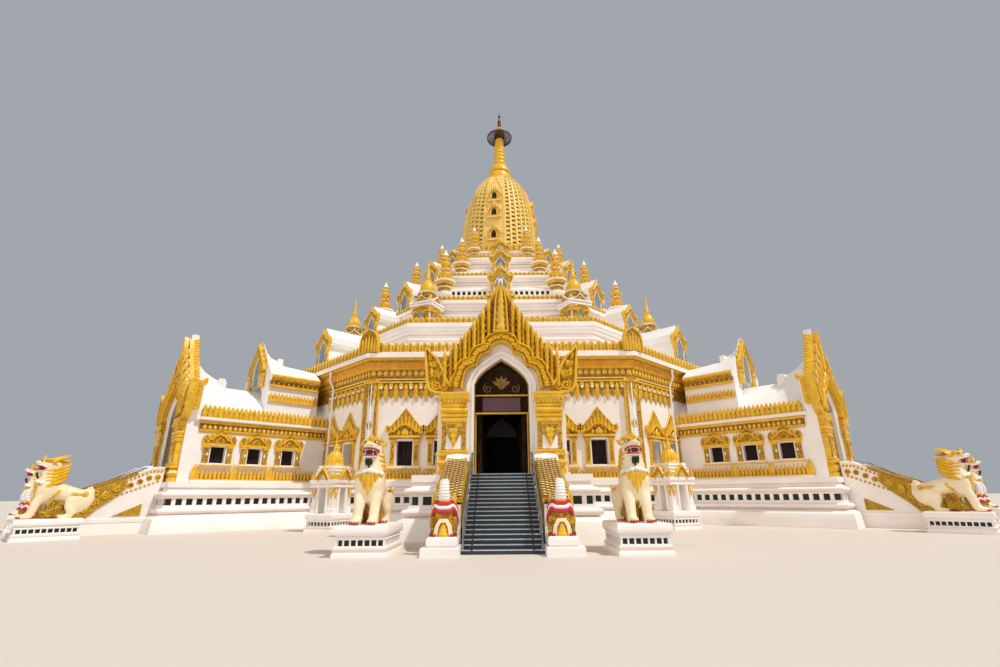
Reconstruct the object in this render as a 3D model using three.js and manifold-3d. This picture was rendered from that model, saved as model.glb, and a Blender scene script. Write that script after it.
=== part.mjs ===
// An octagonal pagoda with eight gabled wings, stairs and guardian lions, as a scale model at 1:2.
// Millimetres, +Z up. The origin is on the ground, under the spire; one wing faces -Y.
import * as THREE from "three";
import { mergeVertices } from "three/addons/utils/BufferGeometryUtils.js";
import Module from "manifold-3d";

const wasm = await Module();
wasm.setup();

// Sizes below are metres of the real building, and one of them is this many millimetres of the model.
const METRE = 500;
const SIDES = 8;
const TURN = (2 * Math.PI) / SIDES;
const CORNER = Math.tan(TURN / 2);
const GAP = 0.0008;

// Plan
const CORE_OUTER = 21.6;
const CORE_INNER = 20.7;
const WING_HALF = 3.1;
const WING_END = 30.45;
const WING_WALL = 0.55;
const LANDING_FACE = 31.45;

// Heights
const FLOOR = 2.81;
const CORE_WALL_TOP = 11.2;
const WING_WALL_TOP = 6.6;

// Windows: centre along the wall, width, sill and head
const CORE_WINDOWS = { centres: [-6.45, -3.98, 3.98, 6.45], width: 1.07, sill: 3.8, head: 5.4 };
const WING_WINDOWS = { centres: [28.9, 26.65, 24.4], width: 0.85, sill: 4.0, head: 5.0 };
const DOOR = { half: 1.35, spring: 7.15, apex: 8.45 };

// Stairs
const RISERS = 19;
const STAIR_HALF = 1.44;
const STAIR_TOP = 32.4;
const STAIR_FOOT = 36.95;
const CHEEK_WIDTH = 1.05;

// Free-standing pieces
const LION = { inner: 35.12, outer: 37.7, near: 3.74, far: 5.56, plinth: 0.98 };
const GUARDIAN = { across: 1.93, out: 36.98 };
const STATUE_SIDES = 6;
const DORMER_FRONT = 0.9;
const SHRINE = { radius: 26.35, half: 0.97 };

const materials = {
  masonry: new THREE.MeshStandardMaterial({ color: 0xf3ece2, roughness: 0.7 }),
  gold: new THREE.MeshStandardMaterial({ color: 0xd9a22b, roughness: 0.45, metalness: 0.3 }),
  pale_gold: new THREE.MeshStandardMaterial({ color: 0xe3bf62, roughness: 0.4, metalness: 0.3 }),
  slate: new THREE.MeshStandardMaterial({ color: 0x4a555f, roughness: 0.6 }),
  bronze: new THREE.MeshStandardMaterial({ color: 0x4a3228, roughness: 0.5, metalness: 0.5 }),
};

// Turns a closed geometry into a solid that can be joined and cut.
function solid(geometry) {
  const bare = geometry.index ? geometry.toNonIndexed() : geometry.clone();
  bare.deleteAttribute("normal");
  bare.deleteAttribute("uv");
  const merged = mergeVertices(bare, 1e-4);
  return new wasm.Manifold(
    new wasm.Mesh({
      numProp: 3,
      vertProperties: merged.attributes.position.array,
      triVerts: new Uint32Array(merged.index.array),
    }),
  );
}

function union(solids) {
  return solids.reduce((whole, next) => whole.add(next));
}

// Turns a solid in metres of the building back into a named mesh in millimetres of the model.
function mesh(name, body, material, turn = 0) {
  const { vertProperties, triVerts } = body.getMesh();
  const geometry = new THREE.BufferGeometry();
  geometry.setAttribute("position", new THREE.BufferAttribute(new Float32Array(vertProperties), 3));
  geometry.setIndex(new THREE.BufferAttribute(new Uint32Array(triVerts), 1));
  geometry.scale(METRE, METRE, METRE);
  geometry.rotateZ(turn);
  geometry.computeVertexNormals();
  const made = new THREE.Mesh(geometry, material);
  made.name = name;
  return made;
}

function box(x0, x1, y0, y1, z0, z1) {
  const geometry = new THREE.BoxGeometry(x1 - x0, y1 - y0, z1 - z0);
  geometry.translate((x0 + x1) / 2, (y0 + y1) / 2, (z0 + z1) / 2);
  return solid(geometry);
}

// An outline in x and z, pushed back along y from y0 to y1.
function prism(outline, y0, y1) {
  const shape = new THREE.Shape(outline.map(([x, z]) => new THREE.Vector2(x, z)));
  const geometry = new THREE.ExtrudeGeometry(shape, { depth: y1 - y0, bevelEnabled: false });
  geometry.rotateX(Math.PI / 2);
  geometry.translate(0, y1, 0);
  return solid(geometry);
}

// An outline in y and z, pushed along x from x0 to x1.
function sidePrism(outline, x0, x1) {
  const shape = new THREE.Shape(outline.map(([y, z]) => new THREE.Vector2(y, z)));
  const geometry = new THREE.ExtrudeGeometry(shape, { depth: x1 - x0, bevelEnabled: false });
  geometry.rotateX(Math.PI / 2);
  geometry.rotateZ(Math.PI / 2);
  geometry.translate(x0, 0, 0);
  return solid(geometry);
}

// A plan outline in x and y, raised from z0 to z1.
function slab(outline, z0, z1) {
  const shape = new THREE.Shape(outline.map(([x, y]) => new THREE.Vector2(x, y)));
  const geometry = new THREE.ExtrudeGeometry(shape, { depth: z1 - z0, bevelEnabled: false });
  geometry.translate(0, 0, z0);
  return solid(geometry);
}

// A closed skin through rings of points that all have the same count, with flat ends.
function loft(rings, capIndex) {
  const count = rings[0].length;
  const vertices = rings.flat(2);
  const triangles = [];
  for (let r = 0; r < rings.length - 1; r++)
    for (let i = 0; i < count; i++) {
      const a = r * count + i;
      const b = r * count + ((i + 1) % count);
      triangles.push([a, b, b + count], [a, b + count, a + count]);
    }
  const last = (rings.length - 1) * count;
  for (const [a, b, c] of capIndex) {
    triangles.push([c, b, a]);
    triangles.push([last + a, last + b, last + c]);
  }
  const geometry = new THREE.BufferGeometry();
  geometry.setAttribute("position", new THREE.Float32BufferAttribute(vertices, 3));
  geometry.setIndex(triangles.flat());
  const made = solid(geometry);
  if (made.volume() > 0) return made;
  geometry.setIndex(triangles.map(([a, b, c]) => [a, c, b]).flat());
  return solid(geometry);
}

function capOf(outline) {
  return THREE.ShapeUtils.triangulateShape(
    outline.map(([u, v]) => new THREE.Vector2(u, v)),
    [],
  );
}

// Sections in x and z at several places along y, joined into one body.
function loftAlongWing(sections) {
  const rings = sections.map(({ y, points }) => points.map(([x, z]) => [x, y, z]));
  return loft(rings, capOf(sections[0].points));
}

// A profile of radius and height, turned round the vertical axis with the given number of flats.
function turned(profile, flats, x = 0, y = 0) {
  const grow = flats === SIDES ? 1 / Math.cos(Math.PI / SIDES) : 1;
  const points = profile.map(([radius, z]) => new THREE.Vector2(radius * grow, z));
  const geometry = new THREE.LatheGeometry(points, flats, Math.PI / flats);
  geometry.rotateX(Math.PI / 2);
  geometry.translate(x, y, 0);
  return solid(geometry);
}

// The shape of a left half, from bottom middle to top middle, joined to its mirror image.
function mirrored(half) {
  const other = half
    .filter(([x]) => Math.abs(x) > 1e-6)
    .map(([x, z]) => [-x, z])
    .reverse();
  return half.concat(other);
}

function pointedArch(half, spring, apex, bottom) {
  const shoulder = [
    [half, spring],
    [half * 0.82, spring + (apex - spring) * 0.42],
    [half * 0.45, spring + (apex - spring) * 0.78],
  ];
  return mirrored([[half, bottom], ...shoulder, [0, apex]]);
}

// Plinth: the octagon and its eight wings in plan, at a given offset from the walls.
function planOutline(offset) {
  const outline = [];
  const half = WING_HALF + offset;
  const face = CORE_OUTER + offset;
  for (let k = 0; k < SIDES; k++) {
    const c = Math.cos(k * TURN);
    const s = Math.sin(k * TURN);
    const place = (x, y) => [x * c - y * s, x * s + y * c];
    outline.push(place(-face * CORNER, -face), place(-half, -face), place(-half, -WING_END - offset));
    outline.push(place(half, -WING_END - offset), place(half, -face));
  }
  return outline;
}

function plinth() {
  const profile = [
    [1.68, 0],
    [1.6, 0.75],
    [1.36, 1.0],
    [1.46, 1.18],
    [1.2, 1.38],
    [1.1, 1.95],
    [1.3, 2.15],
    [1.02, 2.38],
    [1.05, FLOOR],
  ];
  const rings = profile.map(([offset, z]) => planOutline(offset).map(([x, y]) => [x, y, z]));
  let body = loft(rings, capOf(planOutline(1.05)));
  const half = STAIR_HALF + CHEEK_WIDTH + 0.1;
  const notch = box(-half, half, -WING_END - 3, -LANDING_FACE, -1, FLOOR + 1);
  for (let k = 0; k < SIDES; k++) body = body.subtract(notch.rotate([0, 0, (k * 360) / SIDES]));
  return body;
}

// One bay of wall: a face of the octagon with its wing's side walls and gabled end wall.
function wallBay() {
  const openWidth = WING_HALF - WING_WALL;
  const face = slab(
    [
      [-(CORE_OUTER - GAP) * CORNER + GAP, -CORE_OUTER],
      [(CORE_OUTER - GAP) * CORNER - GAP, -CORE_OUTER],
      [(CORE_INNER - GAP) * CORNER - GAP, -CORE_INNER],
      [-(CORE_INNER - GAP) * CORNER + GAP, -CORE_INNER],
    ],
    FLOOR + GAP,
    CORE_WALL_TOP,
  );
  const solids = [face];
  for (const side of [-1, 1]) {
    const across = [side * openWidth, side * WING_HALF].sort((a, b) => a - b);
    solids.push(box(across[0], across[1], -WING_END, -CORE_OUTER + 0.1, FLOOR + GAP, WING_WALL_TOP));
    // gold pilaster beside the door
    const pilaster = [side * 1.72, side * 2.86].sort((a, b) => a - b);
    solids.push(box(pilaster[0], pilaster[1], -WING_END - 0.75, -WING_END + 0.1, FLOOR + GAP, 6.66));
  }
  const gable = mirrored([
    [WING_HALF, FLOOR + GAP],
    [WING_HALF, 6.6],
    [3.55, 7.2],
    [3.79, 8.95],
    [3.0, 7.85],
    [2.35, 8.9],
    [1.4, 10.35],
    [0.68, 11.45],
    [0.3, 12.1],
    [0, 12.6],
  ]);
  solids.push(prism(gable, -WING_END - 0.45, -WING_END + WING_WALL));
  let body = union(solids);
  const passage = box(-openWidth, openWidth, -CORE_OUTER - 0.5, -CORE_INNER + 0.5, FLOOR - 1, 6.2);
  body = body.subtract(passage);
  const door = pointedArch(DOOR.half, DOOR.spring, DOOR.apex, FLOOR - 1);
  body = body.subtract(prism(door, -WING_END - 1, -WING_END + 1));
  const core = CORE_WINDOWS;
  for (const x of core.centres)
    body = body.subtract(
      box(x - core.width / 2, x + core.width / 2, -CORE_OUTER - 1, -CORE_INNER + 1, core.sill, core.head),
    );
  const side = WING_WINDOWS;
  for (const r of side.centres)
    body = body.subtract(box(-4, 4, -r - side.width / 2, -r + side.width / 2, side.sill, side.head));
  return body;
}

// Half of a hollow roof section, from the bottom of its outer face round to the bottom of its inner face.
function roofSection(y, outerHalf, innerHalf) {
  const outer = mirrored(outerHalf);
  const insideOut = mirrored(innerHalf).reverse();
  return { y, points: outer.concat(insideOut) };
}

// Wing roof: the low vault, the higher part next to the core, and ridges that sweep up to the gables.
function wingRoof() {
  const eave = WING_WALL_TOP + GAP;
  const lowOuter = (ridge, shoulder) => [
    [3.35, eave],
    [3.35, 6.8],
    [3.12, 6.8],
    [3.12, 7.6],
    [2.85, 7.6],
    [2.85, 7.1],
    [1.5, shoulder],
    [0, ridge],
  ];
  const lowInner = [
    [2.5, eave],
    [1.7, 8.0],
    [0, 8.8],
  ];
  const low = loftAlongWing([
    roofSection(-CORE_OUTER - GAP, lowOuter(9.35, 8.5), lowInner),
    roofSection(-28.2, lowOuter(9.45, 8.5), lowInner),
    roofSection(-29.2, lowOuter(10.6, 8.9), lowInner),
    roofSection(-WING_END + WING_WALL + GAP, lowOuter(12.4, 9.6), lowInner),
  ]);
  const highOuter = (ridge, shoulder) => [
    [2.4, 7.2],
    [2.4, 9.9],
    [2.62, 10.0],
    [2.62, 10.42],
    [1.2, shoulder],
    [0, ridge],
  ];
  const highInner = [
    [1.2, 7.2],
    [1.2, 9.2],
    [0, 10.4],
  ];
  const high = loftAlongWing([
    roofSection(-22.35, highOuter(11.6, 11.25), highInner),
    roofSection(-24.6, highOuter(11.8, 11.3), highInner),
    roofSection(-26.1, highOuter(13.3, 11.7), highInner),
  ]);
  return low.add(high);
}

// A guardian head at the foot of a balustrade: a round body under a tall crest.
function guardian(side) {
  const profile = [
    [0, 0.5],
    [0.52, 0.5],
    [0.56, 0.9],
    [0.5, 1.7],
    [0.21, 2.05],
    [0.19, 2.52],
    [0, 2.6],
  ];
  return turned(profile, STATUE_SIDES, side * GUARDIAN.across, -GUARDIAN.out);
}

// Stair flight with its cheek walls, guardian heads at the foot and the sloping balustrades.
function stair() {
  const rise = FLOOR / RISERS;
  const going = (STAIR_FOOT - STAIR_TOP) / (RISERS - 1);
  const steps = [
    [-LANDING_FACE - GAP, 0],
    [-LANDING_FACE - GAP, FLOOR],
  ];
  for (let i = 0; i < RISERS; i++) {
    const y = -STAIR_TOP - i * going;
    steps.push([y, FLOOR - i * rise], [y, FLOOR - (i + 1) * rise]);
  }
  const solids = [sidePrism(steps, -STAIR_HALF - 0.1, STAIR_HALF + 0.1)];
  const cheek = [
    [-LANDING_FACE - GAP, 0],
    [-LANDING_FACE - GAP, 3.9],
    [-31.96, 3.83],
    [-33.0, 3.28],
    [-34.06, 2.79],
    [-35.0, 2.4],
    [-36.3, 1.75],
    [-36.6, 1.75],
    [-36.6, 0.55],
    [-37.75, 0.55],
    [-37.75, 0],
  ];
  const outer = STAIR_HALF + CHEEK_WIDTH;
  solids.push(sidePrism(cheek, STAIR_HALF, outer));
  solids.push(sidePrism(cheek, -outer, -STAIR_HALF));
  solids.push(guardian(-1), guardian(1));
  return union(solids);
}

// A crouching lion on a moulded pedestal, drawn with its chest towards -Y and centred on x = 0.
function lion() {
  const half = (LION.far - LION.near) / 2;
  const top = LION.plinth;
  const foot = top - 0.05;
  const solids = [
    box(-half, half, -LION.outer, -LION.inner, 0, 0.2),
    box(-half + 0.1, half - 0.1, -LION.outer + 0.08, -LION.inner - 0.08, 0.15, top),
  ];
  // the trunk's rings, from rump to chest: distance along the wing, height, half width and half height
  const stations = [
    [34.62, 1.95, 0.25, 0.3],
    [35.0, 1.95, 0.5, 0.55],
    [35.8, 2.15, 0.44, 0.5],
    [36.7, 2.4, 0.54, 0.78],
    [37.28, 2.45, 0.3, 0.5],
  ];
  const ring = ([out, z, wide, tall]) =>
    [...Array(STATUE_SIDES).keys()].map((i) => {
      const angle = ((i + 0.5) * 2 * Math.PI) / STATUE_SIDES;
      return [(wide * Math.cos(angle)) / Math.cos(Math.PI / STATUE_SIDES), -out, z + tall * Math.sin(angle)];
    });
  const rings = stations.map(ring);
  solids.push(loft(rings, capOf(rings[0].map(([x, , z]) => [x, z]))));
  // neck and mane
  const mane = [
    [0, 2.8],
    [0.5, 2.9],
    [0.46, 3.75],
    [0, 4.1],
  ];
  solids.push(turned(mane, STATUE_SIDES, 0, -36.72));
  const crest = [
    [-37.1, 3.98],
    [-36.2, 4.2],
    [-36.35, 3.5],
  ];
  solids.push(sidePrism(crest, -0.18, 0.18));
  // open jaws
  const upperJaw = [
    [-36.8, 3.6],
    [-37.38, 3.66],
    [-37.46, 3.88],
    [-36.8, 4.0],
  ];
  solids.push(sidePrism(upperJaw, -0.24, 0.24));
  const lowerJaw = [
    [-36.8, 3.2],
    [-37.28, 3.26],
    [-37.36, 3.42],
    [-36.8, 3.38],
  ];
  solids.push(sidePrism(lowerJaw, -0.2, 0.2));
  // straight front legs, and bent hind legs with their thighs
  const frontLeg = [
    [-36.6, 2.8],
    [-37.2, 2.6],
    [-37.4, 1.3],
    [-37.66, 1.2],
    [-37.66, foot],
    [-37.02, foot],
  ];
  const hindLeg = [
    [-34.8, 1.35],
    [-34.8, 1.95],
    [-35.25, 2.28],
    [-35.7, 2.0],
    [-36.2, 1.25],
    [-36.2, foot],
    [-35.2, foot],
  ];
  for (const side of [-1, 1]) {
    const across = (from, to) => [side * from, side * to].sort((a, b) => a - b);
    solids.push(sidePrism(frontLeg, ...across(0.08, 0.43)), sidePrism(hindLeg, ...across(0.25, 0.6)));
  }
  return union(solids);
}

// A four-arched shrine under a small bell and spire, drawn with its centre on -Y.
function shrine() {
  const y = -SHRINE.radius;
  const half = SHRINE.half;
  const solids = [
    box(-half, half, y - half, y + half, 0, 0.3),
    box(-half + 0.1, half - 0.1, y - half + 0.1, y + half - 0.1, 0.28, 1.05),
    box(-0.85, 0.85, y - 0.85, y + 0.85, 2.4, 2.85),
  ];
  const column = box(-0.14, 0.14, y - 0.14, y + 0.14, 1.0, 2.45);
  for (const sx of [-0.65, 0.65]) for (const sy of [-0.65, 0.65]) solids.push(column.translate([sx, sy, 0]));
  const bell = [
    [0, 2.8],
    [0.85, 2.8],
    [0.7, 3.65],
    [0.4, 4.6],
    [0, 5.85],
  ];
  solids.push(turned(bell, STATUE_SIDES, 0, y));
  return union(solids);
}

// Moulded cornice and gold crest that wrap the top of the core walls.
function cornice() {
  const inner = CORE_OUTER + GAP;
  return turned(
    [
      [inner, 9.55],
      [21.78, 9.6],
      [21.9, 10.3],
      [22.05, 10.95],
      [22.3, 10.97],
      [22.3, 11.32],
      [22.0, 11.34],
      [21.95, 12.1],
      [21.75, 12.1],
      [21.72, 11.4],
      [inner, 11.4],
      [inner, 9.55],
    ],
    SIDES,
  );
}

// A pot finial on a round pedestal, on the corners of the upper terraces.
function pot(apothem, z, height) {
  const profile = [
    [0, z],
    [0.17 * height, z],
    [0.2 * height, z + 0.3 * height],
    [0.14 * height, z + 0.72 * height],
    [0, z + height],
  ];
  return turned(profile, 4, 0, -apothem / Math.cos(TURN / 2));
}

// A gabled shrine with a small stupa, on the corners of the lowest terrace.
function cornerStupa(apothem, z, top) {
  const y = -apothem / Math.cos(TURN / 2);
  const half = 1.0;
  const eave = z + 2.2;
  const bell = [
    [0, eave - 0.1],
    [0.9, eave - 0.1],
    [0.55, eave + 1.3],
    [0.15, eave + 2.3],
    [0, top],
  ];
  return union([box(-half, half, y - half, y + half, z, eave), turned(bell, 5, 0, y)]);
}

// A gabled dormer on the middle of each face. Over a hollow its body starts at a shelf, and only its front goes lower.
function dormer({ half, face, back, foot, shelf, tip }) {
  const eave = foot + (tip - foot) * 0.55;
  const outline = mirrored([
    [half, shelf ?? foot],
    [half, eave],
    [0, tip],
  ]);
  const body = prism(outline, -face, -back);
  return shelf ? union([body, box(-half, half, -face, -face + DORMER_FRONT, foot, shelf + 0.05)]) : body;
}

function around(body, offset = 0) {
  return [...Array(SIDES).keys()].map((k) => body.rotate([0, 0, ((k + offset) * 360) / SIDES]));
}

// Terraces: hollow octagonal steps, each resting on the inner rim of the one below.
const TERRACES = [
  {
    profile: [
      [20.75, CORE_WALL_TOP + GAP],
      [21.55, CORE_WALL_TOP + GAP],
      [21.4, 12.0],
      [19.4, 12.6],
      [18.3, 12.7],
      [17.7, 13.1],
      [17.65, 14.3],
      [18.0, 14.65],
      [18.0, 15.0],
      [17.8, 15.5],
      [17.5, 15.5],
      [17.4, 15.05],
      [16.3, 15.05],
      [16.3, 14.5],
      [17.0, 14.2],
      [17.0, 12.5],
      [17.9, 12.1],
      [20.7, 11.6],
      [20.75, CORE_WALL_TOP + GAP],
    ],
    dormers: [{ half: 1.0, face: 21.2, back: 17.5, foot: 12.05, tip: 15.5 }],
    corners: [],
  },
  {
    profile: [
      [16.35, 15.05 + GAP],
      [17.3, 15.05 + GAP],
      [17.25, 15.5],
      [14.7, 16.0],
      [14.2, 16.4],
      [14.15, 17.7],
      [14.6, 17.95],
      [14.6, 18.3],
      [14.4, 18.75],
      [14.15, 18.75],
      [14.05, 18.35],
      [12.4, 18.35],
      [12.4, 17.85],
      [13.5, 17.55],
      [13.5, 15.9],
      [14.5, 15.35],
      [16.3, 15.2],
      [16.35, 15.05 + GAP],
    ],
    dormers: [{ half: 0.95, face: 16.84, back: 14.0, foot: 15.55, tip: 18.7 }],
    corners: [cornerStupa(15.34, 15.6, 21.85)],
  },
  {
    profile: [
      [12.45, 18.35 + GAP],
      [13.3, 18.35 + GAP],
      [12.95, 18.9],
      [12.9, 20.0],
      [11.1, 20.8],
      [11.05, 21.6],
      [11.4, 21.85],
      [11.4, 22.15],
      [11.25, 22.5],
      [11.05, 22.5],
      [11.0, 22.2],
      [9.4, 22.2],
      [9.4, 21.75],
      [10.4, 21.5],
      [10.4, 19.85],
      [12.2, 19.6],
      [12.2, 18.9],
      [12.45, 18.35 + GAP],
    ],
    dormers: [{ half: 0.9, face: 13.44, back: 10.95, foot: 18.5, shelf: 19.95, tip: 22.3 }],
    corners: [pot(12.56, 19.2, 5.1)],
  },
  {
    profile: [
      [9.45, 22.2 + GAP],
      [10.3, 22.2 + GAP],
      [9.95, 22.8],
      [9.9, 23.3],
      [8.4, 23.9],
      [8.3, 24.95],
      [8.6, 25.2],
      [8.6, 25.5],
      [8.45, 25.85],
      [8.25, 25.85],
      [8.2, 25.55],
      [7.05, 25.6],
      [7.0, 26.75],
      [7.2, 27.0],
      [7.1, 27.9],
      [6.9, 27.9],
      [6.85, 27.15],
      [4.3, 27.15],
      [4.3, 26.65],
      [6.3, 26.45],
      [6.3, 25.0],
      [7.7, 24.7],
      [7.7, 22.95],
      [9.3, 22.8],
      [9.45, 22.2 + GAP],
    ],
    dormers: [
      { half: 0.85, face: 10.25, back: 8.15, foot: 22.35, shelf: 23.05, tip: 25.65 },
      { half: 0.75, face: 7.45, back: 6.6, foot: 25.5, tip: 28.1 },
    ],
    corners: [pot(9.52, 22.6, 4.7), pot(6.85, 26.2, 3.9)],
  },
];

function terrace({ profile, dormers, corners }) {
  const solids = [turned(profile, SIDES)];
  for (const window of dormers) solids.push(...around(dormer(window)));
  for (const ornament of corners) solids.push(...around(ornament, 0.5));
  return union(solids);
}

// The curved tower, hollow and open below.
function tower() {
  return turned(
    [
      [4.45, 27.15 + GAP],
      [5.5, 27.15 + GAP],
      [5.5, 27.7],
      [4.9, 27.95],
      [4.8, 28.9],
      [4.5, 29.2],
      [4.48, 31.9],
      [4.38, 34.0],
      [4.2, 35.6],
      [3.9, 37.7],
      [3.38, 39.4],
      [2.7, 40.5],
      [1.75, 41.6],
      [1.1, 41.6],
      [2.2, 40.0],
      [3.1, 38.0],
      [3.65, 35.6],
      [3.95, 32.0],
      [4.0, 28.6],
      [4.4, 27.8],
      [4.45, 27.15 + GAP],
    ],
    16,
  );
}

function spire() {
  return turned(
    [
      [0, 41.6 + GAP],
      [1.4, 41.6 + GAP],
      [1.42, 42.5],
      [1.2, 43.3],
      [0.78, 43.9],
      [0.66, 45.4],
      [0.55, 46.8],
      [0.45, 48.0],
      [0, 48.0],
    ],
    12,
  );
}

function umbrella() {
  return turned(
    [
      [0.58, 47.2],
      [1.1, 47.3],
      [1.66, 47.6],
      [1.6, 47.85],
      [0.7, 48.3],
      [0.4, 49.4],
      [0.2, 50.2],
      [0, 50.2],
      [0, 48.0 + GAP],
      [0.58, 48.0 + GAP],
      [0.58, 47.2],
    ],
    12,
  );
}

function finial() {
  return turned(
    [
      [0, 50.2 + GAP],
      [0.16, 50.2 + GAP],
      [0.22, 50.6],
      [0.08, 50.9],
      [0, 52.0],
    ],
    8,
  );
}

const pagoda = new THREE.Group();
pagoda.name = "pagoda";
pagoda.add(mesh("plinth", plinth(), materials.masonry));
pagoda.add(mesh("main_cornice", cornice(), materials.gold));
TERRACES.forEach((step, i) => pagoda.add(mesh(`terrace_${i + 1}`, terrace(step), materials.masonry)));
pagoda.add(mesh("tower", tower(), materials.pale_gold));
pagoda.add(mesh("spire", spire(), materials.gold));
pagoda.add(mesh("umbrella", umbrella(), materials.bronze));
pagoda.add(mesh("finial", finial(), materials.gold));

const bay = wallBay();
const roof = wingRoof();
const flight = stair();
const statue = lion();
const smallShrine = shrine();
const lionOffset = (LION.near + LION.far) / 2;
for (let k = 0; k < SIDES; k++) {
  const turn = k * TURN;
  const n = k + 1;
  pagoda.add(mesh(`wall_bay_${n}`, bay, materials.masonry, turn));
  pagoda.add(mesh(`wing_roof_${n}`, roof, materials.masonry, turn));
  pagoda.add(mesh(`stair_${n}`, flight, materials.slate, turn));
  pagoda.add(mesh(`lion_left_${n}`, statue.translate([-lionOffset, 0, 0]), materials.pale_gold, turn));
  pagoda.add(mesh(`lion_right_${n}`, statue.translate([lionOffset, 0, 0]), materials.pale_gold, turn));
  pagoda.add(mesh(`corner_shrine_${n}`, smallShrine, materials.gold, turn + TURN / 2));
}

export default pagoda;
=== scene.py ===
"""An octagonal pagoda with eight gabled wings, as a scale model at 1:2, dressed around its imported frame."""

import math

import bmesh
import bpy
import numpy as np
from mathutils import Matrix, Vector


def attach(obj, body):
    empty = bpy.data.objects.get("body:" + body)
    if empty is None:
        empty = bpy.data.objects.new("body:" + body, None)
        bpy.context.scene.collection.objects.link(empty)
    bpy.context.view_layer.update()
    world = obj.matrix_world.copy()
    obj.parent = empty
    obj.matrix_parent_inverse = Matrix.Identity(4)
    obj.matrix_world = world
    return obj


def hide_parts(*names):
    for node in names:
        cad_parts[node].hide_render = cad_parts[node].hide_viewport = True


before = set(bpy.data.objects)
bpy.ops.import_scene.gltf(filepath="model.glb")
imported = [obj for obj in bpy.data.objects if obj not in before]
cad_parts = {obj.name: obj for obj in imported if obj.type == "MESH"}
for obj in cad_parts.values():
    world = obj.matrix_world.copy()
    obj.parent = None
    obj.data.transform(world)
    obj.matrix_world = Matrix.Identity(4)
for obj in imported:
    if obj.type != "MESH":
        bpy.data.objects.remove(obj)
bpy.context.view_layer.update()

# Sizes are metres of the real building, and one of them is this many metres of the model.
UNIT = 0.5
SIDES = 8
TURN = 2 * math.pi / SIDES
CORNER = math.tan(TURN / 2)
FRONT = -math.pi / 2

# Plan and heights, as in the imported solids
CORE_OUTER = 21.6
CORE_INNER = 20.7
WING_HALF = 3.1
WING_END = 30.45
FACADE = 30.9
FLOOR = 2.81
WALL_TOP = 9.57
EAVE = 6.6
CORE_WINDOWS = [-6.45, -3.98, 3.98, 6.45]
WING_WINDOWS = [28.9, 26.65, 24.4]
# Each window's half width, sill and head
CORE_WINDOW = (0.535, 3.8, 5.4)
WING_WINDOW = (0.43, 4.0, 5.0)
DOOR_HALF, DOOR_SPRING, DOOR_APEX = 1.35, 7.15, 8.45
DOOR_HEAD = 5.74
TRANSOMS = (5.77, 6.66)
# The dark vents round the plinth, and those on the third terrace with their distance
VENT_LOW, VENT_HIGH, VENT_PITCH = 1.5, 1.86, 0.55
UPPER_VENT, UPPER_VENT_LOW, UPPER_VENT_HIGH = 12.8, 19.47, 19.83
# The foot of the ochre band behind the cornice's drops
VALANCE_FOOT = 8.72

# Stairs
RISERS = 19
STAIR_HALF = 1.44
STAIR_TOP, STAIR_FOOT = 32.4, 36.95
LANDING = 31.45
RISE = FLOOR / RISERS
GOING = (STAIR_FOOT - STAIR_TOP) / (RISERS - 1)
# A stair side's two faces, and its foot
CHEEK_INNER, CHEEK_OUTER, CHEEK_FOOT = 1.49, 2.44, 36.3

# The face of a wing's higher roof and its half width, then how far out the corner shrines stand
HIGH_FACE = 26.12
HIGH_HALF = 2.4
SHRINE_RADIUS = 26.35
# The right-hand lion's pedestal, as its two sides, its back and its front
LION_SEAT = (3.74, 5.56, 35.12, 37.7)

# The camera stands in front of the stair, at eye height; the focal length is in pixels of the picture
CAMERA_BACK, EYE_HEIGHT = 55.0, 1.865
PICTURE_WIDTH, FOCAL_LENGTH = 1000, 493.7
PITCH, YAW, TILT = math.radians(18.23), math.radians(0.12), math.radians(-0.453)


# Shapes: points and faces in metres of the building, each face with the name of its paint.
class Shape:
    def __init__(self):
        self.points = []
        self.faces = []
        self.paints = []

    def add(self, points, faces, paint):
        start = len(self.points)
        self.points.extend(tuple(p) for p in points)
        self.faces.extend(tuple(i + start for i in face) for face in faces)
        self.paints.extend([paint] * len(faces) if isinstance(paint, str) else paint)
        return self

    def put(self, other, matrix=None):
        points = np.array(other.points, float).reshape(-1, 3)
        flip = False
        if matrix is not None:
            grid = np.array(matrix, float)
            points = points @ grid[:3, :3].T + grid[:3, 3]
            flip = np.linalg.det(grid[:3, :3]) < 0
        start = len(self.points)
        self.points.extend(map(tuple, points))
        for face in other.faces:
            moved = tuple(i + start for i in face)
            self.faces.append(moved[::-1] if flip else moved)
        self.paints.extend(other.paints)
        return self


def move(x=0.0, y=0.0, z=0.0):
    return Matrix.Translation((x, y, z))


def scale(x, y, z):
    return Matrix.Diagonal((x, y, z, 1))


def spin(angle):
    return Matrix.Rotation(angle, 4, "Z")


def about_x(angle):
    return Matrix.Rotation(angle, 4, "X")


MIRROR = scale(-1, 1, 1)
UPSIDE_DOWN = scale(1, -1, 1)


def wall(angle, out, along=0.0, up=0.0):
    """Local u runs along a wall to the right, v up and w outwards; the wall faces the angle."""
    c, s = math.cos(angle), math.sin(angle)
    return Matrix(
        ((-s, 0, c, out * c - along * s), (c, 0, s, out * s + along * c), (0, 1, 0, up), (0, 0, 0, 1))
    )


def aim(origin, along, out):
    """Local v runs along a direction, and w points to the outside."""
    v = Vector(along).normalized()
    u = v.cross(Vector(out)).normalized()
    w = u.cross(v)
    rows = [(u[i], v[i], w[i], origin[i]) for i in range(3)]
    return Matrix(rows + [(0, 0, 0, 1)])


def both(shape):
    """A shape and its mirror image across u = 0."""
    return Shape().put(shape).put(shape, MIRROR)


def mirrored(half):
    """A line from one end to the middle, u = 0, and on to the other end."""
    return half + [(-u, v) for u, v in half[-2::-1]]


def circle(radius, count):
    turns = [i * 2 * math.pi / count for i in range(count)]
    return [(radius * math.cos(a), radius * math.sin(a)) for a in turns]


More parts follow.
